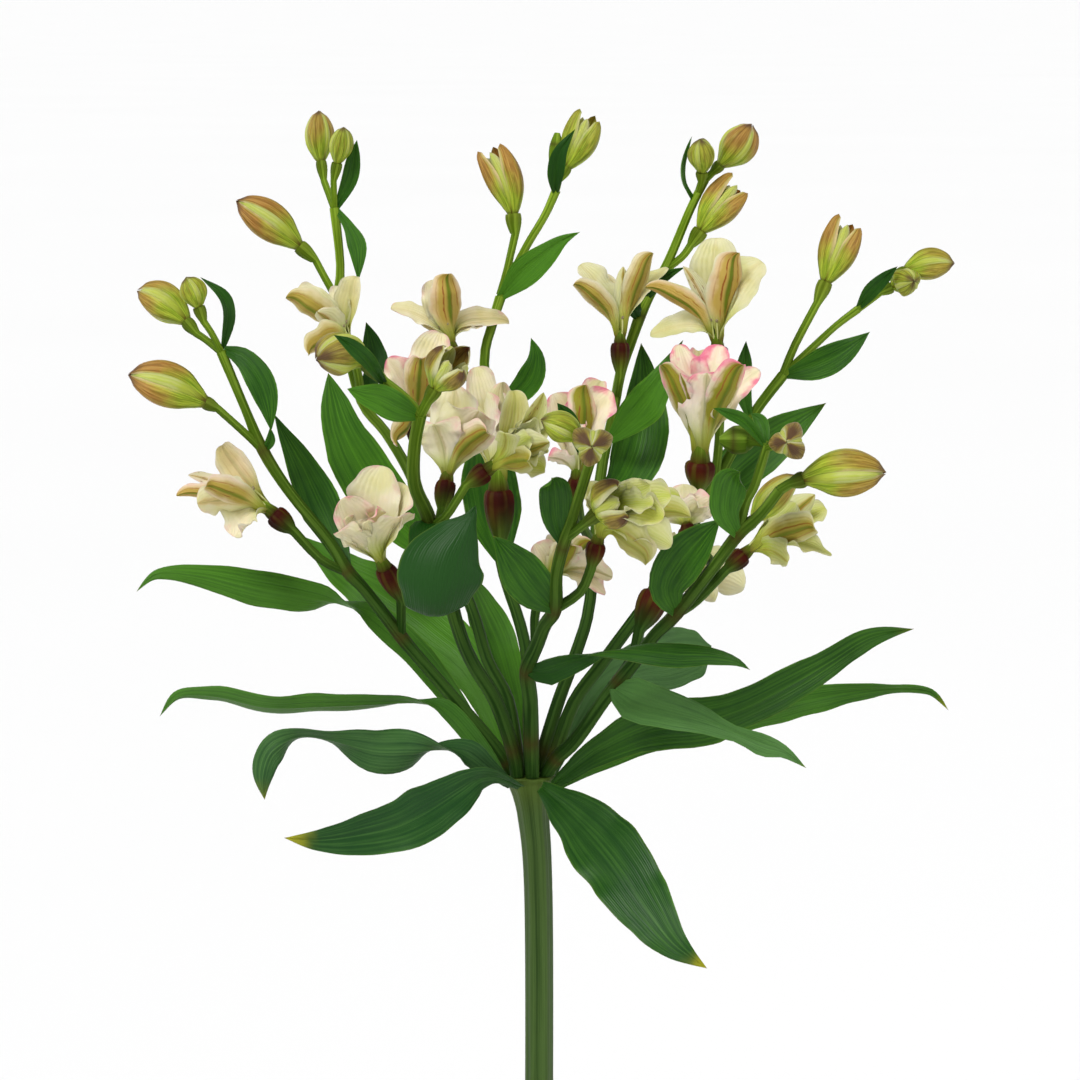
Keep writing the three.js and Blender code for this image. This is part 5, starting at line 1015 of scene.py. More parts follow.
def ribs(count, depth):
    """How much a ribbed tube swells at an angle."""
    return lambda angle: 1 + depth * math.cos(count * angle)


stem_rows = [along(STEM_ROWS, k / STEM_SPANS) for k in range(STEM_SPANS + 1)]
stem_points = [Vector((x, 0, z)) for x, z, _ in stem_rows]
stem_radii = [radius for *_, radius in stem_rows]
stem = Work()
stem.tube(stem_points, stem_radii, STEM_SIDES, [(0, 0, 0, 0)] * len(stem_rows),
          rib=ribs(STEM_RIBS, RIB_DEPTH))
stem_piece = stem.hand_over("ribbed_stem", "stem", [STEM], ["stem"])
print("stem faces:", len(stem_piece.data.polygons))

# %% [markdown]
# ## The leaves of the whorl
# Each leaf is a long strap that twists at its base, so that its underside faces up, and then curls over at
# the tip. Its blade is cupped along a sunken midrib, and its edges wave. The stations hold the midrib's
# place and the way the blade faces, and `blade` asks for a point at a time.

# %% Leaf stations
TURN = 6.28  # one wave, in radians
LONG_WAVE, SHORT_WAVE, SHORT_SHARE = (15, 24), (9, 14), 0.45  # lengths, and the short one's part
GROOVE, GROOVE_WIDTH = 0.35, 0.13  # the midrib's depth, and its width in half widths
CUP_CURVE, WAVE_CURVE, BODY_CURVE = 1.6, 2.2, 2.5  # how late cup, waves and thinning set in to the rim
SWAY, CROWDED = 0.025, 1.25  # how far waves move the rim, and how close rows lie near the tip
THIN, SLIM = 1.2, 0.02  # half widths below which a blade thins, and the narrowest one


def stations(rows, steps, level=False):
    """Places along a leaf: midrib, the way across, the way out of the face, half width and share."""
    shares = [1 - (1 - k / steps) ** CROWDED for k in range(steps + 1)]
    samples = [along(rows, share) for share in shares]
    middles = [seen(sample) for sample in samples]
    made = []
    for middle, way, sample, share in zip(middles, directions(middles), samples, shares):
        half, roll = sample[3:]
        flat = RIGHT - way * RIGHT.dot(way) if level else way.cross(TOWARD)
        side = Matrix.Rotation(math.radians(roll), 3, way) @ flat.normalized()
        made.append((middle, side, side.cross(way), max(half, SLIM), share))
    return made


def leaf_place(rows, steps, thick, cup, wave, seed, level=False):
    """The point of a leaf at a place across it, one of its rows and one of its faces."""
    held = stations(rows, steps, level)
    length = sum((held[k + 1][0] - held[k][0]).length for k in range(steps))
    draw = random.Random(seed)
    beats = [length / draw.uniform(*LONG_WAVE), length / draw.uniform(*SHORT_WAVE)]
    starts = [draw.uniform(0, 6) for _ in range(4)]

    def place(across, row, face):
        middle, side, out, half, share = held[row]
        reach = abs(across)
        turn = 0 if across > 0 else 1
        ripple = (math.sin(TURN * beats[0] * share + starts[turn])
                  + SHORT_SHARE * math.sin(TURN * beats[1] * share + starts[turn + 2]))
        groove = GROOVE * math.exp(-(reach / GROOVE_WIDTH) ** 2)
        lift = half * (cup * reach ** CUP_CURVE + wave * reach ** WAVE_CURVE * ripple) - groove
        body = 0.5 * thick * face * math.sqrt(max(1 - reach ** BODY_CURVE, 0)) * min(1, half / THIN)
        ends = min(1, row / 2, (len(held) - 1 - row) / 2)
        flat = half * across * (1 + SWAY * reach * ripple)
        return middle + side * flat + out * (lift * min(1, half) + body * ends)
    return place


held = stations(WHORL_LEAVES[0], 20)
spans = [(there[0] - here[0]).length for here, there in zip(held, held[1:])]
print("first leaf:", round(sum(spans)), "mm long")


# %% Grow the ten leaves
# The tone of each leaf: pale, blue, yellow-tipped
LEAF_MOODS = [(0.95, 0.15, 0.3, 1), (0.72, 0.3, 0.2, 1), (0.3, 0.9, 0.6, 1), (0.22, 0.7, 1.0, 1),
              (1.2, 0.0, 0.0, 1), (0.9, 0.0, 0.0, 1), (0.34, 0.1, 0.4, 1), (0.72, 0.1, 0.8, 1),
              (1.2, 1.0, 0.0, 1), (0.2, 0.35, 1.0, 1)]
LEAF_STEPS, LEAF_COLUMNS = 56, 14
LEAF_THICK, LEAF_CUP, LEAF_WAVE = 0.9, 0.18, 0.065
for k, (rows, mood) in enumerate(zip(WHORL_LEAVES, LEAF_MOODS), 1):
    leaf = Work()
    place = leaf_place(rows, LEAF_STEPS, LEAF_THICK, LEAF_CUP, LEAF_WAVE, k)
    leaf.blade(place, LEAF_COLUMNS, LEAF_STEPS, mood)
    leaf.hand_over(f"whorl_leaf_{k}", "leaf", [LEAF], [f"leaf_{k}"])
print("whorl leaves:", len(WHORL_LEAVES))

# %% [markdown]
# ## The stalks of the umbel
# A stalk is a tube along its rows. Where it forks, it swells a little and turns brownish. The lower parts
# are dark grey-green and the thin upper ones lime. Each flower stands on a pedicel, which swells into a
# six-ribbed maroon ovary. The bracts are small leaves that clasp the forks.

# %% Tones along a stalk
LIME_FROM, LIME_TO = 370, 520  # heights between which the stalks turn lime
JOINT_SWELL, JOINT_REACH = 0.05, 0.35  # how much thicker a joint is, and how many rows its brown reaches


def lime_at(point):
    """How lime a stalk is at a height: 0 near the whorl, 1 near the top."""
    return ease(point.z, LIME_FROM, LIME_TO)


def stalk_moods(rows, count):
    """Tones along a stalk: lime by height and brownish where the radius swells at a joint."""
    moods = []
    joints = [k for k in range(1, len(rows) - 1)
              if rows[k][3] > max(rows[k - 1][3], rows[k + 1][3]) + JOINT_SWELL]
    for k in range(count):
        at = k / (count - 1) * (len(rows) - 1)
        near = max([1 - abs(at - joint) / JOINT_REACH for joint in joints] + [0])
        moods.append((lime_at(seen(along(rows, k / (count - 1)))), max(near, 0), 0, 1))
    return moods


print("the stalks turn lime from", LIME_FROM, "to", LIME_TO, "mm")


# %% Tubes of the umbel
STALK_SIDES, TWIG_SIDES, PEDICEL_SIDES = 12, 8, 24
STALK_RIBS, STALK_RIB_DEPTH, OVARY_RIB_DEPTH = 5, 0.03, 0.08


def stalk(work, rows, sides, upright=False):
    """A stalk through its rows. The main one starts upright on the flat top of the stem."""
    count = 4 * len(rows) - 3
    samples = [along(rows, k / (count - 1)) for k in range(count)]
    points = [seen(sample) for sample in samples]
    start = None
    if upright:
        points[0].z = WHORL.z + GAP
        start = Vector((0, 0, 1))
    work.tube(points, [sample[3] for sample in samples], sides, stalk_moods(rows, count), start,
              rib=ribs(STALK_RIBS, STALK_RIB_DEPTH))


def ovary_of(flower):
    """Foot, top, direction and radius of an ovary."""
    foot = seen(flower["pedicel"][-1])
    top = seen(flower["ovary"])
    return foot, top, (top - foot).normalized(), flower["ovary"][3]


# Places along an ovary and its radius there, as shares of the whole
RIPE_OVARY = [(0.1, 0.45), (0.25, 0.66), (0.42, 0.85), (0.6, 0.96), (0.78, 1.0), (0.9, 0.96), (0.97, 0.86),
              (1.0, 0.76)]
YOUNG_OVARY = [(0.1, 0.5), (0.28, 0.62), (0.5, 0.75), (0.7, 0.82), (0.86, 0.82), (1.0, 0.76)]
YOUNG_MAROON = 0.35


def pedicel(work, flower, young):
    """A pedicel that swells into its ribbed ovary, which is slim and still green under a bud."""
    rows = flower["pedicel"]
    foot, top, _, radius = ovary_of(flower)
    count = 3 * len(rows) - 2
    samples = [along(rows, k / (count - 1)) for k in range(count)]
    shape = YOUNG_OVARY if young else RIPE_OVARY
    points = [seen(sample) for sample in samples] + [foot.lerp(top, share) for share, _ in shape]
    radii = [sample[3] for sample in samples] + [max(swell * radius, rows[-1][3]) for _, swell in shape]
    maroon = YOUNG_MAROON if young else 1
    moods = [(lime_at(point), 0, maroon * ease(k, count - 1, count + 4), 1)
             for k, point in enumerate(points)]
    work.tube(points, radii, PEDICEL_SIDES, moods, rib=ribs(OVARY_RIBS, OVARY_RIB_DEPTH))


print("pedicels:", len(FLOWERS) + len(OPENINGS) + len(BUDS))


# %% Bracts
BRACT_STEPS, BRACT_COLUMNS, LEVEL_STEPS, LEVEL_COLUMNS = 18, 8, 44, 14
BRACT_THICK, BRACT_CUP, BRACT_WAVE = 0.8, 0.25, 0.07
LEVEL_CUP, LEVEL_WAVE, LEVEL_SEED = -0.45, 0.05, 5
LEVEL_MOOD = (-0.6, 0.3, 0.1, 1)
PLAIN_TONES, BRACT_TIP = (0.05, 0.6), 0.35
# How pale and how blue the bracts that differ from the plain ones are
BRACT_TONES = {("frontLeft", 0): (0.95, 0), ("frontMiddle", 0): (0.04, 0), ("frontMiddle", 1): (0.4, 0),
               ("frontRight", 0): (1.1, 0.8), ("frontRight", 2): (0.65, 0), ("right", 0): (0.35, 0),
               ("topMiddle", 0): (1.15, 0), ("upperLeft", 0): (0.8, 0), ("upperRight", 2): (0.9, 0),
               ("upperRight", 3): (0.55, 0)}


def bracts(work, name, ray):
    """The small leaves of a stalk, and its level leaf if it has one."""
    for k, rows in enumerate(ray["leaves"]):
        seed = len(name) * 10 + k
        pale, blue = BRACT_TONES.get((name, k), (random.Random(seed).uniform(*PLAIN_TONES), 0))
        place = leaf_place(rows, BRACT_STEPS, BRACT_THICK, BRACT_CUP, BRACT_WAVE, seed)
        work.blade(place, BRACT_COLUMNS, BRACT_STEPS, (pale, blue, BRACT_TIP, 1), 1)
    for rows in ray.get("level", []):
        place = leaf_place(rows, LEVEL_STEPS, BRACT_THICK, LEVEL_CUP, LEVEL_WAVE, LEVEL_SEED, level=True)
        work.blade(place, LEVEL_COLUMNS, LEVEL_STEPS, LEVEL_MOOD, 1)


print("bracts:", sum(len(ray["leaves"]) for ray in RAYS.values()))


# %% Grow the eight stalks
for name, ray in RAYS.items():
    work = Work()
    stalk(work, ray["stalks"][0], STALK_SIDES, upright=True)
    for rows in ray["stalks"][1:]:
        stalk(work, rows, TWIG_SIDES)
    for head, flower in {**FLOWERS, **OPENINGS, **BUDS}.items():
        if flower["ray"] == name:
            pedicel(work, flower, young=head not in FLOWERS)
    bracts(work, name, ray)
    work.hand_over(f"stalks_{name}", "stalk", [STALK, LEAF], [f"ray_{name}"])
print("stalks:", len(RAYS))

# %% [markdown]
# ## The flowers
# Six or more petals rise from the ovary, close together at their claws, and bend out to their tips. A petal
# is a blade too: it is rolled up tightly at the claw, opens to a shallow cup and ends round or pointed,
# with a ruffled rim and, on the outer ones, a keel. Thin stamens stand between them.

# %% The form of a petal
PETAL_ROOT = [0.5, 0.2, 0.34]
PETAL_STEPS, PETAL_COLUMNS, PETAL_CROWDED = 30, 12, 1.5
# Per kind (outer, narrow and broad): claw width, where the blade is broad, where it rounds off, how round
# and how blunt it ends, roll at the claw and at the blade, ruffle, keel and hood
PETAL_FORM = [(0.3, 0.56, 0.6, 2.4, 0.6, 1.4, 0.95, 0.06, 0.45, 0.6),
              (0.2, 0.7, 0.72, 1.8, 0.8, 1.4, 0.9, 0.05, 0.1, 0),
              (0.26, 0.56, 0.6, 2.7, 0.5, 1.3, 0.6, 0.14, 0.12, 0)]
PETAL_FULLNESS, PETAL_BODY, PETAL_TWIST = 1.18, 0.24, 0.25
SLOW_BEAT, QUICK_BEAT, SHARP_BEAT = (10, 16), (22, 30), (34, 44)  # ruffles along a petal, in radians
RIM_RUFFLE, KEEL_WIDTH, NARROWEST = 0.035, 0.2, 0.015
TURNED = [0.62, 0.5, 0.45]  # per kind, how far a blade turns its face to the light
FACING = [-0.2, 0.3, 0.15]  # per kind, how far to the front a petal shows its outer side


def bent(root, middle, tip, share):
    """A quadratic curve from the root to the tip."""
    return root.lerp(middle, share).lerp(middle.lerp(tip, share), share)


def petal_place(seat, axis, radius, tip, width, kind, seed, crumple=1.0):
    """The point of a petal at a place across it, one of its rows and one of its faces."""
    claw, broad, rounds, round_end, blunt, roll_claw, roll_blade, ruffle, keel, hood = PETAL_FORM[kind]
    length = (tip - seat).length
    out = (tip - seat - axis * (tip - seat).dot(axis)).normalized()
    offset = PETAL_ROOT[kind] * radius
    root = seat + out * offset
    middle = seat + axis * length * 0.5 + out * (offset + 1)
    shares = [1 - (1 - k / PETAL_STEPS) ** PETAL_CROWDED for k in range(PETAL_STEPS + 1)]
    middles = [bent(root, middle, tip, share) for share in shares]
    draw = random.Random(seed)
    twist = draw.uniform(-PETAL_TWIST, PETAL_TWIST) * crumple
    starts = [draw.uniform(0, 6) for _ in range(6)]
    beats = [draw.uniform(*SLOW_BEAT), draw.uniform(*QUICK_BEAT), draw.uniform(*SHARP_BEAT)]
    lit = TOWARD if out.dot(TOWARD) < FACING[kind] else -TOWARD
    held = []
    for point, way, share in zip(middles, directions(middles), shares):
        across = axis.cross(out)
        inward = way.cross(across)
        wanted = lit - way * lit.dot(way)
        turn = math.atan2(inward.cross(wanted).dot(way), inward.dot(wanted)) * TURNED[kind]
        turn = Matrix.Rotation(turn * ease(share, 0, 0.5) + twist * share, 3, way)
        side, inward = turn @ across, turn @ inward
        end = max(0, (share - rounds) / (1 - rounds))
        half = (width * PETAL_FULLNESS * (claw + (1 - claw) * ease(share, 0.03, broad))
                * max(1 - end ** round_end, 0) ** blunt)
        held.append((point, side, inward, max(half, NARROWEST), share))

    def place(across, index, face):
        point, side, inward, half, share = held[index]
        roll = roll_claw + (roll_blade - roll_claw) * ease(share, 0, 0.7)
        reach = abs(across)
        turn = 0 if across > 0 else 1
        slow = math.sin(beats[0] * share + starts[turn])
        quick = math.sin(beats[1] * share + starts[turn + 2])
        sharp = math.sin(beats[2] * share + starts[turn + 4])
        wave = (slow + 0.7 * quick) * reach ** 3 * ease(share, 0.2, 0.7)
        half *= 1 + RIM_RUFFLE * (slow + quick + 0.5 * sharp) * reach * crumple * ease(share, 0.3, 0.8)
        lift = half * ((1 - math.cos(roll * across)) / roll + ruffle * 2 * crumple * wave
                       + hood * ease(share, 0.7, 1))
        body = PETAL_BODY * math.sqrt(max(1 - reach ** BODY_CURVE, 0)) * min(1, half)
        ridge = keel * math.exp(-(reach / KEEL_WIDTH) ** 2) * min(1, half / 2) if face < 0 else 0
        ends = min(1, index / 1.5, (PETAL_STEPS - index) / 1.5)
        spread = side * half * math.sin(roll * across) / roll
        return point + spread + inward * (lift + face * (body + ridge) * ends)
    return place


print("kinds of petal:", len(PETAL_FORM))


# %% The tone and fullness of each flower
# Blush, lime, keel and ochre
FLOWER_MOODS = {
    "left_low": (0.6, 0.65, 0.1, 0.0), "left_high": (0.45, 0.3, 0.9, 0.85),
    "upper_left": (0.2, 0.4, 0.7, 0.6), "middle_left": (0.8, 0.2, 0.95, 0.75),
    "front_cream": (0.5, 0.25, 0.6, 0.3), "front_lime": (0.1, 0.9, 0.6, 0.3),
    "middle_back": (0.5, 0.3, 0.3, 0.3),
    "upper_back": (0.5, 0.3, 0.95, 0.8), "upper_right": (0.15, 0.45, 1.0, 0.7),
    "middle_pink": (0.95, 0.2, 0.9, 0.1), "low_back": (0.55, 0.4, 0.7, 0.1),
    "right_small": (0.5, 0.3, 0.2, 0.0), "right_pink": (0.9, 0.35, 0.95, 0.15),
    "upper_white": (0.08, 0.25, 1.0, 0.9), "front_double": (0.12, 0.8, 0.4, 0.2),
    "front_right": (0.05, 0.8, 0.6, 0.35), "low_right": (0.15, 0.2, 0.1, 0.0)}
# How many small crumpled petals stand in the middle of a bloom, and how far they lean out
DOUBLES = {"left_low": (4, 0.2), "front_lime": (4, 0.2), "front_double": (6, 0.22),
           "low_back": (3, 0.12), "middle_back": (3, 0.1), "front_cream": (3, 0.1),
           "right_pink": (3, 0.04), "front_right": (3, 0.15), "middle_pink": (3, 0.05),
           "right_small": (3, 0.15), "low_right": (2, 0.1)}
# How crumpled the petals of the smoother blooms are, and those of the others
SMOOTH = {"upper_white": 0.35, "upper_right": 0.5, "low_right": 0.35, "upper_back": 0.6, "left_low": 0.7}
USUAL_CRUMPLE, INNER_CRUMPLE = 0.9, 1.7
print("double blooms:", len(DOUBLES))

# %% Stamens and inner petals
BROAD_KIND, STALK_SLOT, FILAMENT_SLOT, ANTHER_SLOT = 2, 3, 4, 5
STAMENS, STAMEN_TURN, STAMEN_SPANS, FILAMENT_SIDES, FILAMENT_RADIUS = 5, 1.26, 8, 6, 0.32
STAMEN_RISE, STAMEN_LEAN = (0.75, 1), (1, 2.2)  # where an anther stands: share of the reach, distance
STAMEN_BOW, STAMEN_FOOT = 2.2, 0.8  # and how far from the axis its filament is half way and at its foot
ANTHER_SHAPE = (0.55, 0.5, 1.2, 1)
INNER_RISE, INNER_LEAN, INNER_WIDTH = (0.55, 0.8), (0.6, 1.2), (2.8, 4)


def stamens(work, seat, axis, reach, draw):
    """Five thin filaments with small anthers round the axis of a flower."""
    across = axis.cross(TOWARD).normalized()
    for k in range(STAMENS):
        turn = Matrix.Rotation(k * STAMEN_TURN + draw.uniform(-0.2, 0.2), 3, axis)
        lean = turn @ across
        tip = seat + axis * reach * draw.uniform(*STAMEN_RISE) + lean * draw.uniform(*STAMEN_LEAN)
        middle = seat + axis * reach * 0.5 + lean * STAMEN_BOW
        foot = seat + lean * STAMEN_FOOT
        points = [bent(foot, middle, tip, step / STAMEN_SPANS) for step in range(STAMEN_SPANS + 1)]
        radii, tones = [FILAMENT_RADIUS] * len(points), [(0, 0, 0, 1)] * len(points)
        work.tube(points, radii, FILAMENT_SIDES, tones, material=FILAMENT_SLOT)
        shape = Matrix.Translation(tip) @ frames([tip, tip + lean + axis])[0].to_3x3().to_4x4()
        made = bmesh.ops.create_uvsphere(work.bm, u_segments=10, v_segments=6, radius=1,
                                         matrix=shape @ Matrix.Diagonal(ANTHER_SHAPE))["verts"]
        for face in {near for vert in made for near in vert.link_faces}:
            face.material_index = ANTHER_SLOT


def inner_tips(seat, axis, longest, number, leaning, draw):
    """Tips of the small crumpled petals in the middle of a double bloom."""
    across = axis.cross(TOWARD).normalized()
    tips = []
    for k in range(number):
        lean = Matrix.Rotation(k * 2 * math.pi / number + draw.uniform(-0.4, 0.4), 3, axis) @ across
        rise = axis * longest * draw.uniform(*INNER_RISE)
        tip = seat + rise + lean * longest * leaning * draw.uniform(*INNER_LEAN)
        tips.append((tip, draw.uniform(*INNER_WIDTH), BROAD_KIND, INNER_CRUMPLE))
    return tips


print("stamens:", STAMENS * len(FLOWERS))


# %% Grow the flowers
# Places along the throat and its radius there, in radii of the ovary
THROAT = [(-0.2, 0.7), (0.1, 0.7), (0.5, 0.62), (0.9, 0.54), (1.3, 0.42), (1.6, 0.2)]
THROAT_TONES = [(0.4 + 0.12 * k, 0.2, max(0.95 - 0.3 * k, 0), 1) for k in range(len(THROAT))]
THROAT_SIDES, THROAT_RIB_DEPTH = 14, 0.04
STAMEN_REACH, CLAW_LIFT, FLOWER_SEED = 0.32, 0.6, 100
TONE_DRIFT = (0.7, 1.3)  # how much the petals of one flower differ in tone
# The part of its flower's lime and keel that a broad petal shows, and a flower that is lime all over
BROAD_LIME, BROAD_KEEL, ALL_LIME = 0.6, 0.4, 0.7
BLOOM_FINISHES = [OUTER, NARROW, BROAD, STALK, FILAMENT, ANTHER]
for count, (name, flower) in enumerate(FLOWERS.items()):
    work = Work()
    _, top, axis, radius = ovary_of(flower)
    seat = top + axis * GAP
    points = [seat + axis * rise * radius for rise, _ in THROAT]
    work.tube(points, [swell * radius for _, swell in THROAT], THROAT_SIDES, THROAT_TONES,
              rib=ribs(OVARY_RIBS, THROAT_RIB_DEPTH), material=STALK_SLOT)
    draw = random.Random(FLOWER_SEED + count)
    tips = [(seen(row), row[3], row[4], SMOOTH.get(name, USUAL_CRUMPLE)) for row in flower["petals"]]
    longest = max((tip - seat).length for tip, *_ in tips)
    tips += inner_tips(seat, axis, longest, *DOUBLES.get(name, (0, 0)), draw)
    claws = seat + axis * CLAW_LIFT
    for k, (tip, width, kind, crumple) in enumerate(tips):
        place = petal_place(claws, axis, radius, tip, width, kind, count * 20 + k, crumple)
        tone = [min(max(value * draw.uniform(*TONE_DRIFT), 0), 1) for value in FLOWER_MOODS[name]]
        if kind == BROAD_KIND:
            tone[1] *= BROAD_LIME if FLOWER_MOODS[name][1] < ALL_LIME else 1
            tone[2] *= 0 if crumple > 1 else BROAD_KEEL
        work.blade(place, PETAL_COLUMNS, PETAL_STEPS, tone, kind)
    stamens(work, seat, axis, longest * STAMEN_REACH, draw)
    work.hand_over(f"bloom_{name}", "petal", BLOOM_FINISHES, [f"flower_{name}"])
print("flowers:", len(FLOWERS))

# %% [markdown]
# ## The buds and the opening heads
# A bud is three outer petals wrapped round each other, each with a raised keel, and the paler inner ones
# show through the slits between them. Each outer petal is a blade that is bent round the bud's own axis,
# a little looser on one edge than on the other, so that it overlaps its neighbour. In an opening head the
# same three petals end in their own round tips, and three shorter ones fill the gaps between them.

# %% The form and tone of a head
# Radii from the base to the tip, as shares of the widest
BUD_SWELL = [[0.29], [0.46], [0.65], [0.84], [0.95], [1.0], [0.99], [0.91], [0.75], [0.5], [0.04]]
OPEN_SWELL = [[0.28], [0.44], [0.62], [0.78], [0.9], [0.97], [1.0], [0.99], [0.95], [0.88], [0.76]]
BUD_STEPS, BUD_COLUMNS = 22, 14
THIRD = 2 * math.pi / 3
BUD_RIPENESS = {"left_1": 1.0, "left_2": 0.8, "left_3": 0.15, "upper_left_1": 1.0, "upper_left_2": 0.75,
                "upper_left_3": 0.1, "front_left": 0.5, "front_middle": 0.1, "front_facing": 0.3,
                "right_1": 0.95, "right_2": 0.25, "far_1": 0.15, "far_2": 0.55, "low_right_1": 0.75,
                "low_right_2": 0.6, "low_right_3": 0.7}
BROWNED = {"front_facing": 1.0, "low_right_2": 1.0, "front_left": 0.6}
PLAIN_BROWN = 0.2
LOBED = ("front_facing", "low_right_2")  # their petals stand out as three lobes
SLIT = ("left_1", "left_2", "upper_left_1", "low_right_1")  # a slit shows their inner petals
INNER_MOOD = (0.15, 1, 0, 0)
print("lobed:", LOBED, "slit:", SLIT)


# %% The path of a head
def head_path(head, swell, wide=1.0, long=1.0):
    """Frames from the base of a bud or an opening head to its tip, and its radius at each."""
    _, top, axis, _ = ovary_of(head)
    base = top - axis * GAP
    tip = base.lerp(seen(head["tip"]), long)
    middle = base + axis * (tip - base).length * 0.5
    points = [bent(base, middle, tip, k / BUD_STEPS) for k in range(BUD_STEPS + 1)]
    radii = [along(swell, k / BUD_STEPS)[0] * head["radius"] * wide for k in range(BUD_STEPS + 1)]
    return frames(points), radii


def head_side(head):
    """The way to the right of a head, as seen from the camera."""
    return ovary_of(head)[2].cross(-TOWARD).normalized()


def angle_to(turned, direction):
    """The angle round a head's axis at which a direction lies."""
    return math.atan2(direction.dot(turned.col[1].xyz), direction.dot(turned.col[0].xyz))


print("the first bud starts at", head_path(BUDS["left_1"], BUD_SWELL)[0][0].to_translation())


# %% A petal wrapped round a head
VALVE_KEEL, VALVE_KEEL_WIDTH, VALVE_BODY = 0.1, 0.2, 0.3
SUNK_EDGES, LAPPED = 0.16, 0.04  # how far its edges sink in, and how much one laps over its neighbour
VALVE_TAPER, VALVE_ROUND, VALVE_BLUNT = 0.12, 2.4, 0.6  # how it narrows, and how round and blunt it ends
ABOVE_ONE = 1.001  # keeps the divisor above 0 for a petal that doesn't end in a tip of its own


def valve_place(path, turn, spread, lobed, rounds=1.0):
    """The point of a petal wrapped round the head's axis, which narrows to its own tip above `rounds`."""
    turned, radii = path

    def place(across, index, face):
        share = index / BUD_STEPS
        end = max(0, (share - rounds) / (ABOVE_ONE - rounds))
        reached = across * spread * (1 - VALVE_TAPER * ease(share, 0.5, 1))
        angle = turn + reached * (1 - end ** VALVE_ROUND) ** VALVE_BLUNT
        keel = VALVE_KEEL * math.exp(-(across / VALVE_KEEL_WIDTH) ** 2) * ease(share, 0, 0.3)
        sunk = (SUNK_EDGES + lobed * ease(share, 0.1, 0.7)) * across * across
        reach = radii[index] * (1 + LAPPED * across + keel - sunk)
        ends = min(1, index / 2, (BUD_STEPS - index) / 2)
        thick = VALVE_BODY * math.sqrt(max(1 - across * across, 0)) * ends
        reach += face * thick
        if index == BUD_STEPS:
            angle, reach = turn, radii[index]
        return turned[index] @ Vector((reach * math.cos(angle), reach * math.sin(angle), 0))
    return place


print("a petal of a head is", 2 * VALVE_BODY, "mm thick in the middle")


# %% Grow the closed buds
SLIT_SPREAD, CLOSED_SPREAD, INNER_SPREAD = 0.94, 1.1, 0.9
LOBE_DEPTH, FLUSH = 0.38, 0.06
LOBED_INNER, CLOSED_INNER, INNER_LONG = 0.62, 0.86, 0.97
SLIT_TURN, BUD_SEED = 0.2, 300  # how far beside the eye's line a slit lies
for count, (name, bud) in enumerate(BUDS.items()):
    work = Work()
    path = head_path(bud, BUD_SWELL)
    first = random.Random(BUD_SEED + count).uniform(0, 2)
    spread = CLOSED_SPREAD
    if name in SLIT:
        first = angle_to(path[0][0], TOWARD) - THIRD / 2 + SLIT_TURN
        spread = SLIT_SPREAD
    lobed, inner = (LOBE_DEPTH, LOBED_INNER) if name in LOBED else (FLUSH, CLOSED_INNER)
    mood = (BUD_RIPENESS[name], BROWNED.get(name, PLAIN_BROWN), 0, 1)
    for k in range(3):
        place = valve_place(path, first + k * THIRD, spread, lobed)
        work.blade(place, BUD_COLUMNS, BUD_STEPS, mood)
    path = head_path(bud, BUD_SWELL, inner, INNER_LONG)
    for k in range(3):
        place = valve_place(path, first + (k + 0.5) * THIRD, INNER_SPREAD, FLUSH)
        work.blade(place, BUD_COLUMNS, BUD_STEPS, INNER_MOOD, 1)
    work.hand_over(f"closed_{name}", "bud", [BUD, BROAD], [f"bud_{name}"])
print("buds:", len(BUDS))

# %% Grow the opening heads
LOBES_LONG, SHORT_LONG = (1.0, 0.93, 0.97), (0.9, 0.84, 0.88)
LOBE_SPREAD, LOBE_ROUNDS, SHORT_WIDE, SHORT_ROUNDS = 0.95, 0.35, 0.72, 0.4
LOBE_TURN, HEAD_CRUMPLE, HEAD_SEED = 0.3, 1.5, 700
FRESH = 0.9  # how much an opening head that isn't brown lacks the dark tips of a bud
for name, head in OPENINGS.items():
    work = Work()
    first = angle_to(head_path(head, OPEN_SWELL)[0][0], head_side(head)) + LOBE_TURN
    mood = (head["ripe"], head["brown"], FRESH - head["brown"] * FRESH, 1)
    for k, long in enumerate(LOBES_LONG):
        path = head_path(head, OPEN_SWELL, 1.0, long)
        place = valve_place(path, first + k * THIRD, LOBE_SPREAD, FLUSH, LOBE_ROUNDS)
        work.blade(place, BUD_COLUMNS, BUD_STEPS, mood)
    for k, long in enumerate(SHORT_LONG):
        path = head_path(head, OPEN_SWELL, SHORT_WIDE, long)
        place = valve_place(path, first + (k + 0.5) * THIRD, LOBE_SPREAD, FLUSH, SHORT_ROUNDS)
        work.blade(place, BUD_COLUMNS, BUD_STEPS, INNER_MOOD, 1)
    _, top, axis, radius = ovary_of(head)
    for k, row in enumerate(head.get("petals", [])):
        place = petal_place(top + axis, axis, radius, seen(row), row[3], row[4], HEAD_SEED + k,
                            HEAD_CRUMPLE)
        work.blade(place, PETAL_COLUMNS, PETAL_STEPS, INNER_MOOD, 1)
    work.hand_over(f"bloom_{name}", "petal", [BUD, BROAD], [f"flower_{name}"])
print("opening heads:", len(OPENINGS))

# %% [markdown]
# ## Floor, light and camera
# The plant stands on a plain pale floor in soft studio light: a bright even surround, a large lamp from
# the upper left and a weaker one from the right. The camera stands where the measuring eye stood.

# %% Floor
def floor_finish():
    finish = Finish("pale_floor", Roughness=0.9, Specular_IOR_Level=0.1)
    cloud = finish.spot(0.8, 1)
    return finish.done(finish.blend(cloud, (0.87, 0.87, 0.87), (0.89, 0.89, 0.89)))


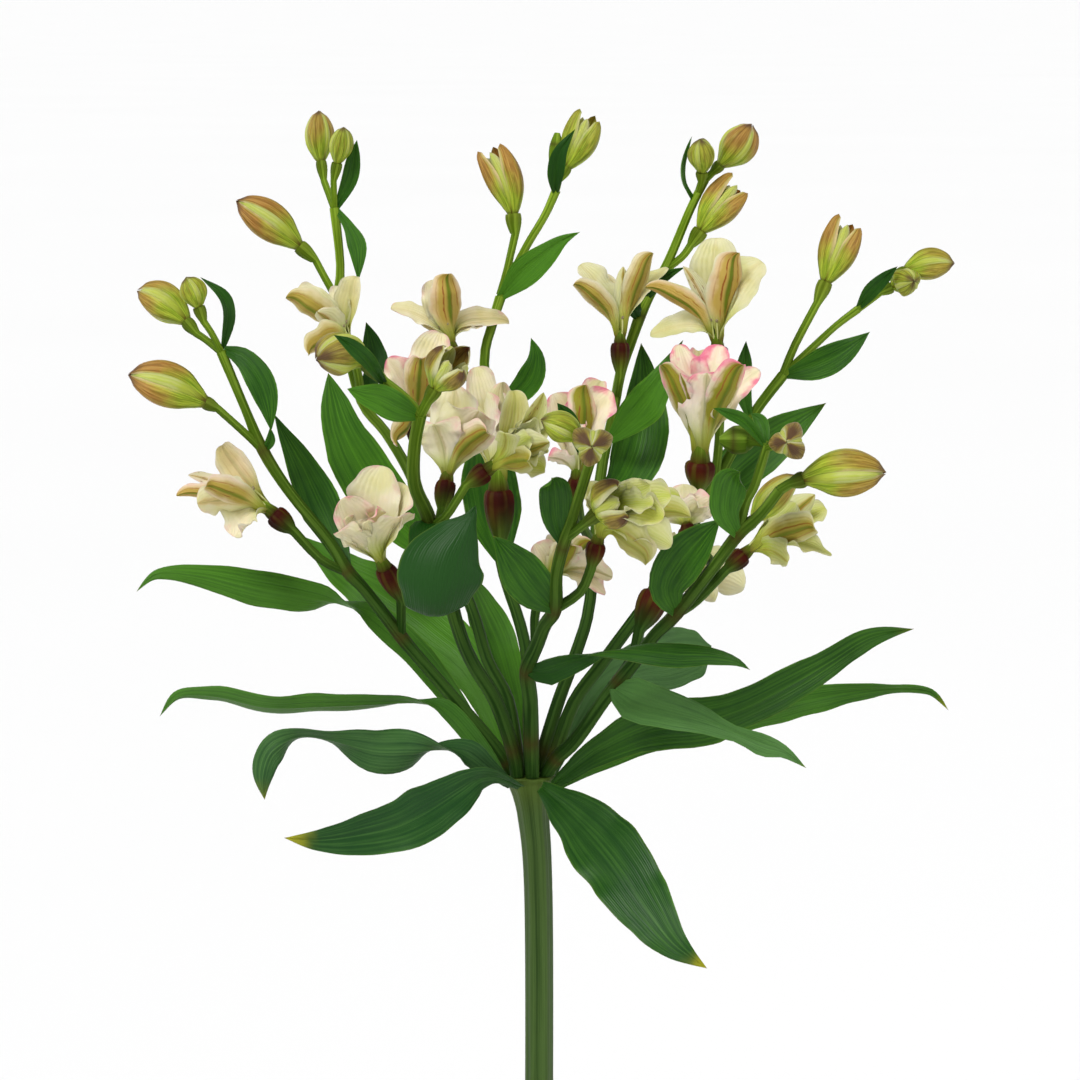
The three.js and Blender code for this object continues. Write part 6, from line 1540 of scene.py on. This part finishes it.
FLOOR_HALF = 500  # metres, so that no edge of it is in sight
ground = bmesh.new()
bmesh.ops.create_grid(ground, x_segments=1, y_segments=1, size=FLOOR_HALF)
floor_mesh = bpy.data.meshes.new("floor")
ground.to_mesh(floor_mesh)
ground.free()
floor_mesh.materials.append(floor_finish())
floor = bpy.data.objects.new("floor", floor_mesh)
bpy.context.scene.collection.objects.link(floor)

# %% The bright surround
scene = bpy.context.scene
scene.world = bpy.data.worlds.new("studio")
scene.world.use_nodes = True
sky = scene.world.node_tree
HORIZON, DOME, LOW, HIGH = 1.0, 0.4, 0.2, 0.6
height = sky.nodes.new("ShaderNodeSeparateXYZ")
sky.links.new(sky.nodes.new("ShaderNodeTexCoord").outputs["Generated"], height.inputs[0])
fade = sky.nodes.new("ShaderNodeMapRange")
fade.interpolation_type = "SMOOTHSTEP"
for socket, value in {"From Min": LOW, "From Max": HIGH, "To Min": HORIZON, "To Max": DOME}.items():
    fade.inputs[socket].default_value = value
sky.links.new(height.outputs["Z"], fade.inputs["Value"])
sky.nodes["Background"].inputs["Color"].default_value = (1, 1, 1, 1)
sky.links.new(fade.outputs[0], sky.nodes["Background"].inputs["Strength"])
scene.view_settings.view_transform = "Standard"
print("surround:", HORIZON, "at the horizon,", DOME, "overhead")


# %% Two lamps
def lamp(kind, name, place, target, power, **settings):
    """A studio lamp that faces a target."""
    light = bpy.data.lights.new(name, kind)
    light.energy = power
    for key, value in settings.items():
        setattr(light, key, value)
    made = bpy.data.objects.new(name, light)
    aim = (Vector(place) - Vector(target)).to_track_quat("Z", "Y")
    made.matrix_world = Matrix.Translation(place) @ aim.to_matrix().to_4x4()
    scene.collection.objects.link(made)


HEAD = (0, 0, 0.41)  # metres, the middle of the umbel
KEY_PLACE, KEY_POWER, KEY_SOFTNESS = (-1.0, -1.6, 2.6), 2.6, math.radians(24)
FILL_PLACE, FILL_POWER, FILL_SIZE = (1.4, -1.0, 0.9), 3, 1.2
lamp("SUN", "key", KEY_PLACE, HEAD, KEY_POWER, angle=KEY_SOFTNESS)
lamp("AREA", "fill", FILL_PLACE, HEAD, FILL_POWER, size=FILL_SIZE)
print("lamps: a sun at", KEY_PLACE, "and an area at", FILL_PLACE)

# %% Camera
lens = bpy.data.cameras.new("eye")
SENSOR, FOCAL_LENGTH = 36, 130  # millimetres
lens.sensor_width, lens.lens = SENSOR, FOCAL_LENGTH
lens.clip_end = 2 * FLOOR_HALF
camera = bpy.data.objects.new("eye", lens)
stand = (WHORL + RIGHT * EYE_RIGHT + UP * EYE_UP + TOWARD * EYE_DISTANCE) * MM
camera.matrix_world = Matrix.Translation(stand) @ Matrix((RIGHT, UP, TOWARD)).transposed().to_4x4()
scene.collection.objects.link(camera)
scene.camera = camera
print("camera at", stand)

# %% [markdown]
# ## The last step
# The view layer is updated once more.

# %% Update the scene
bpy.context.view_layer.update()
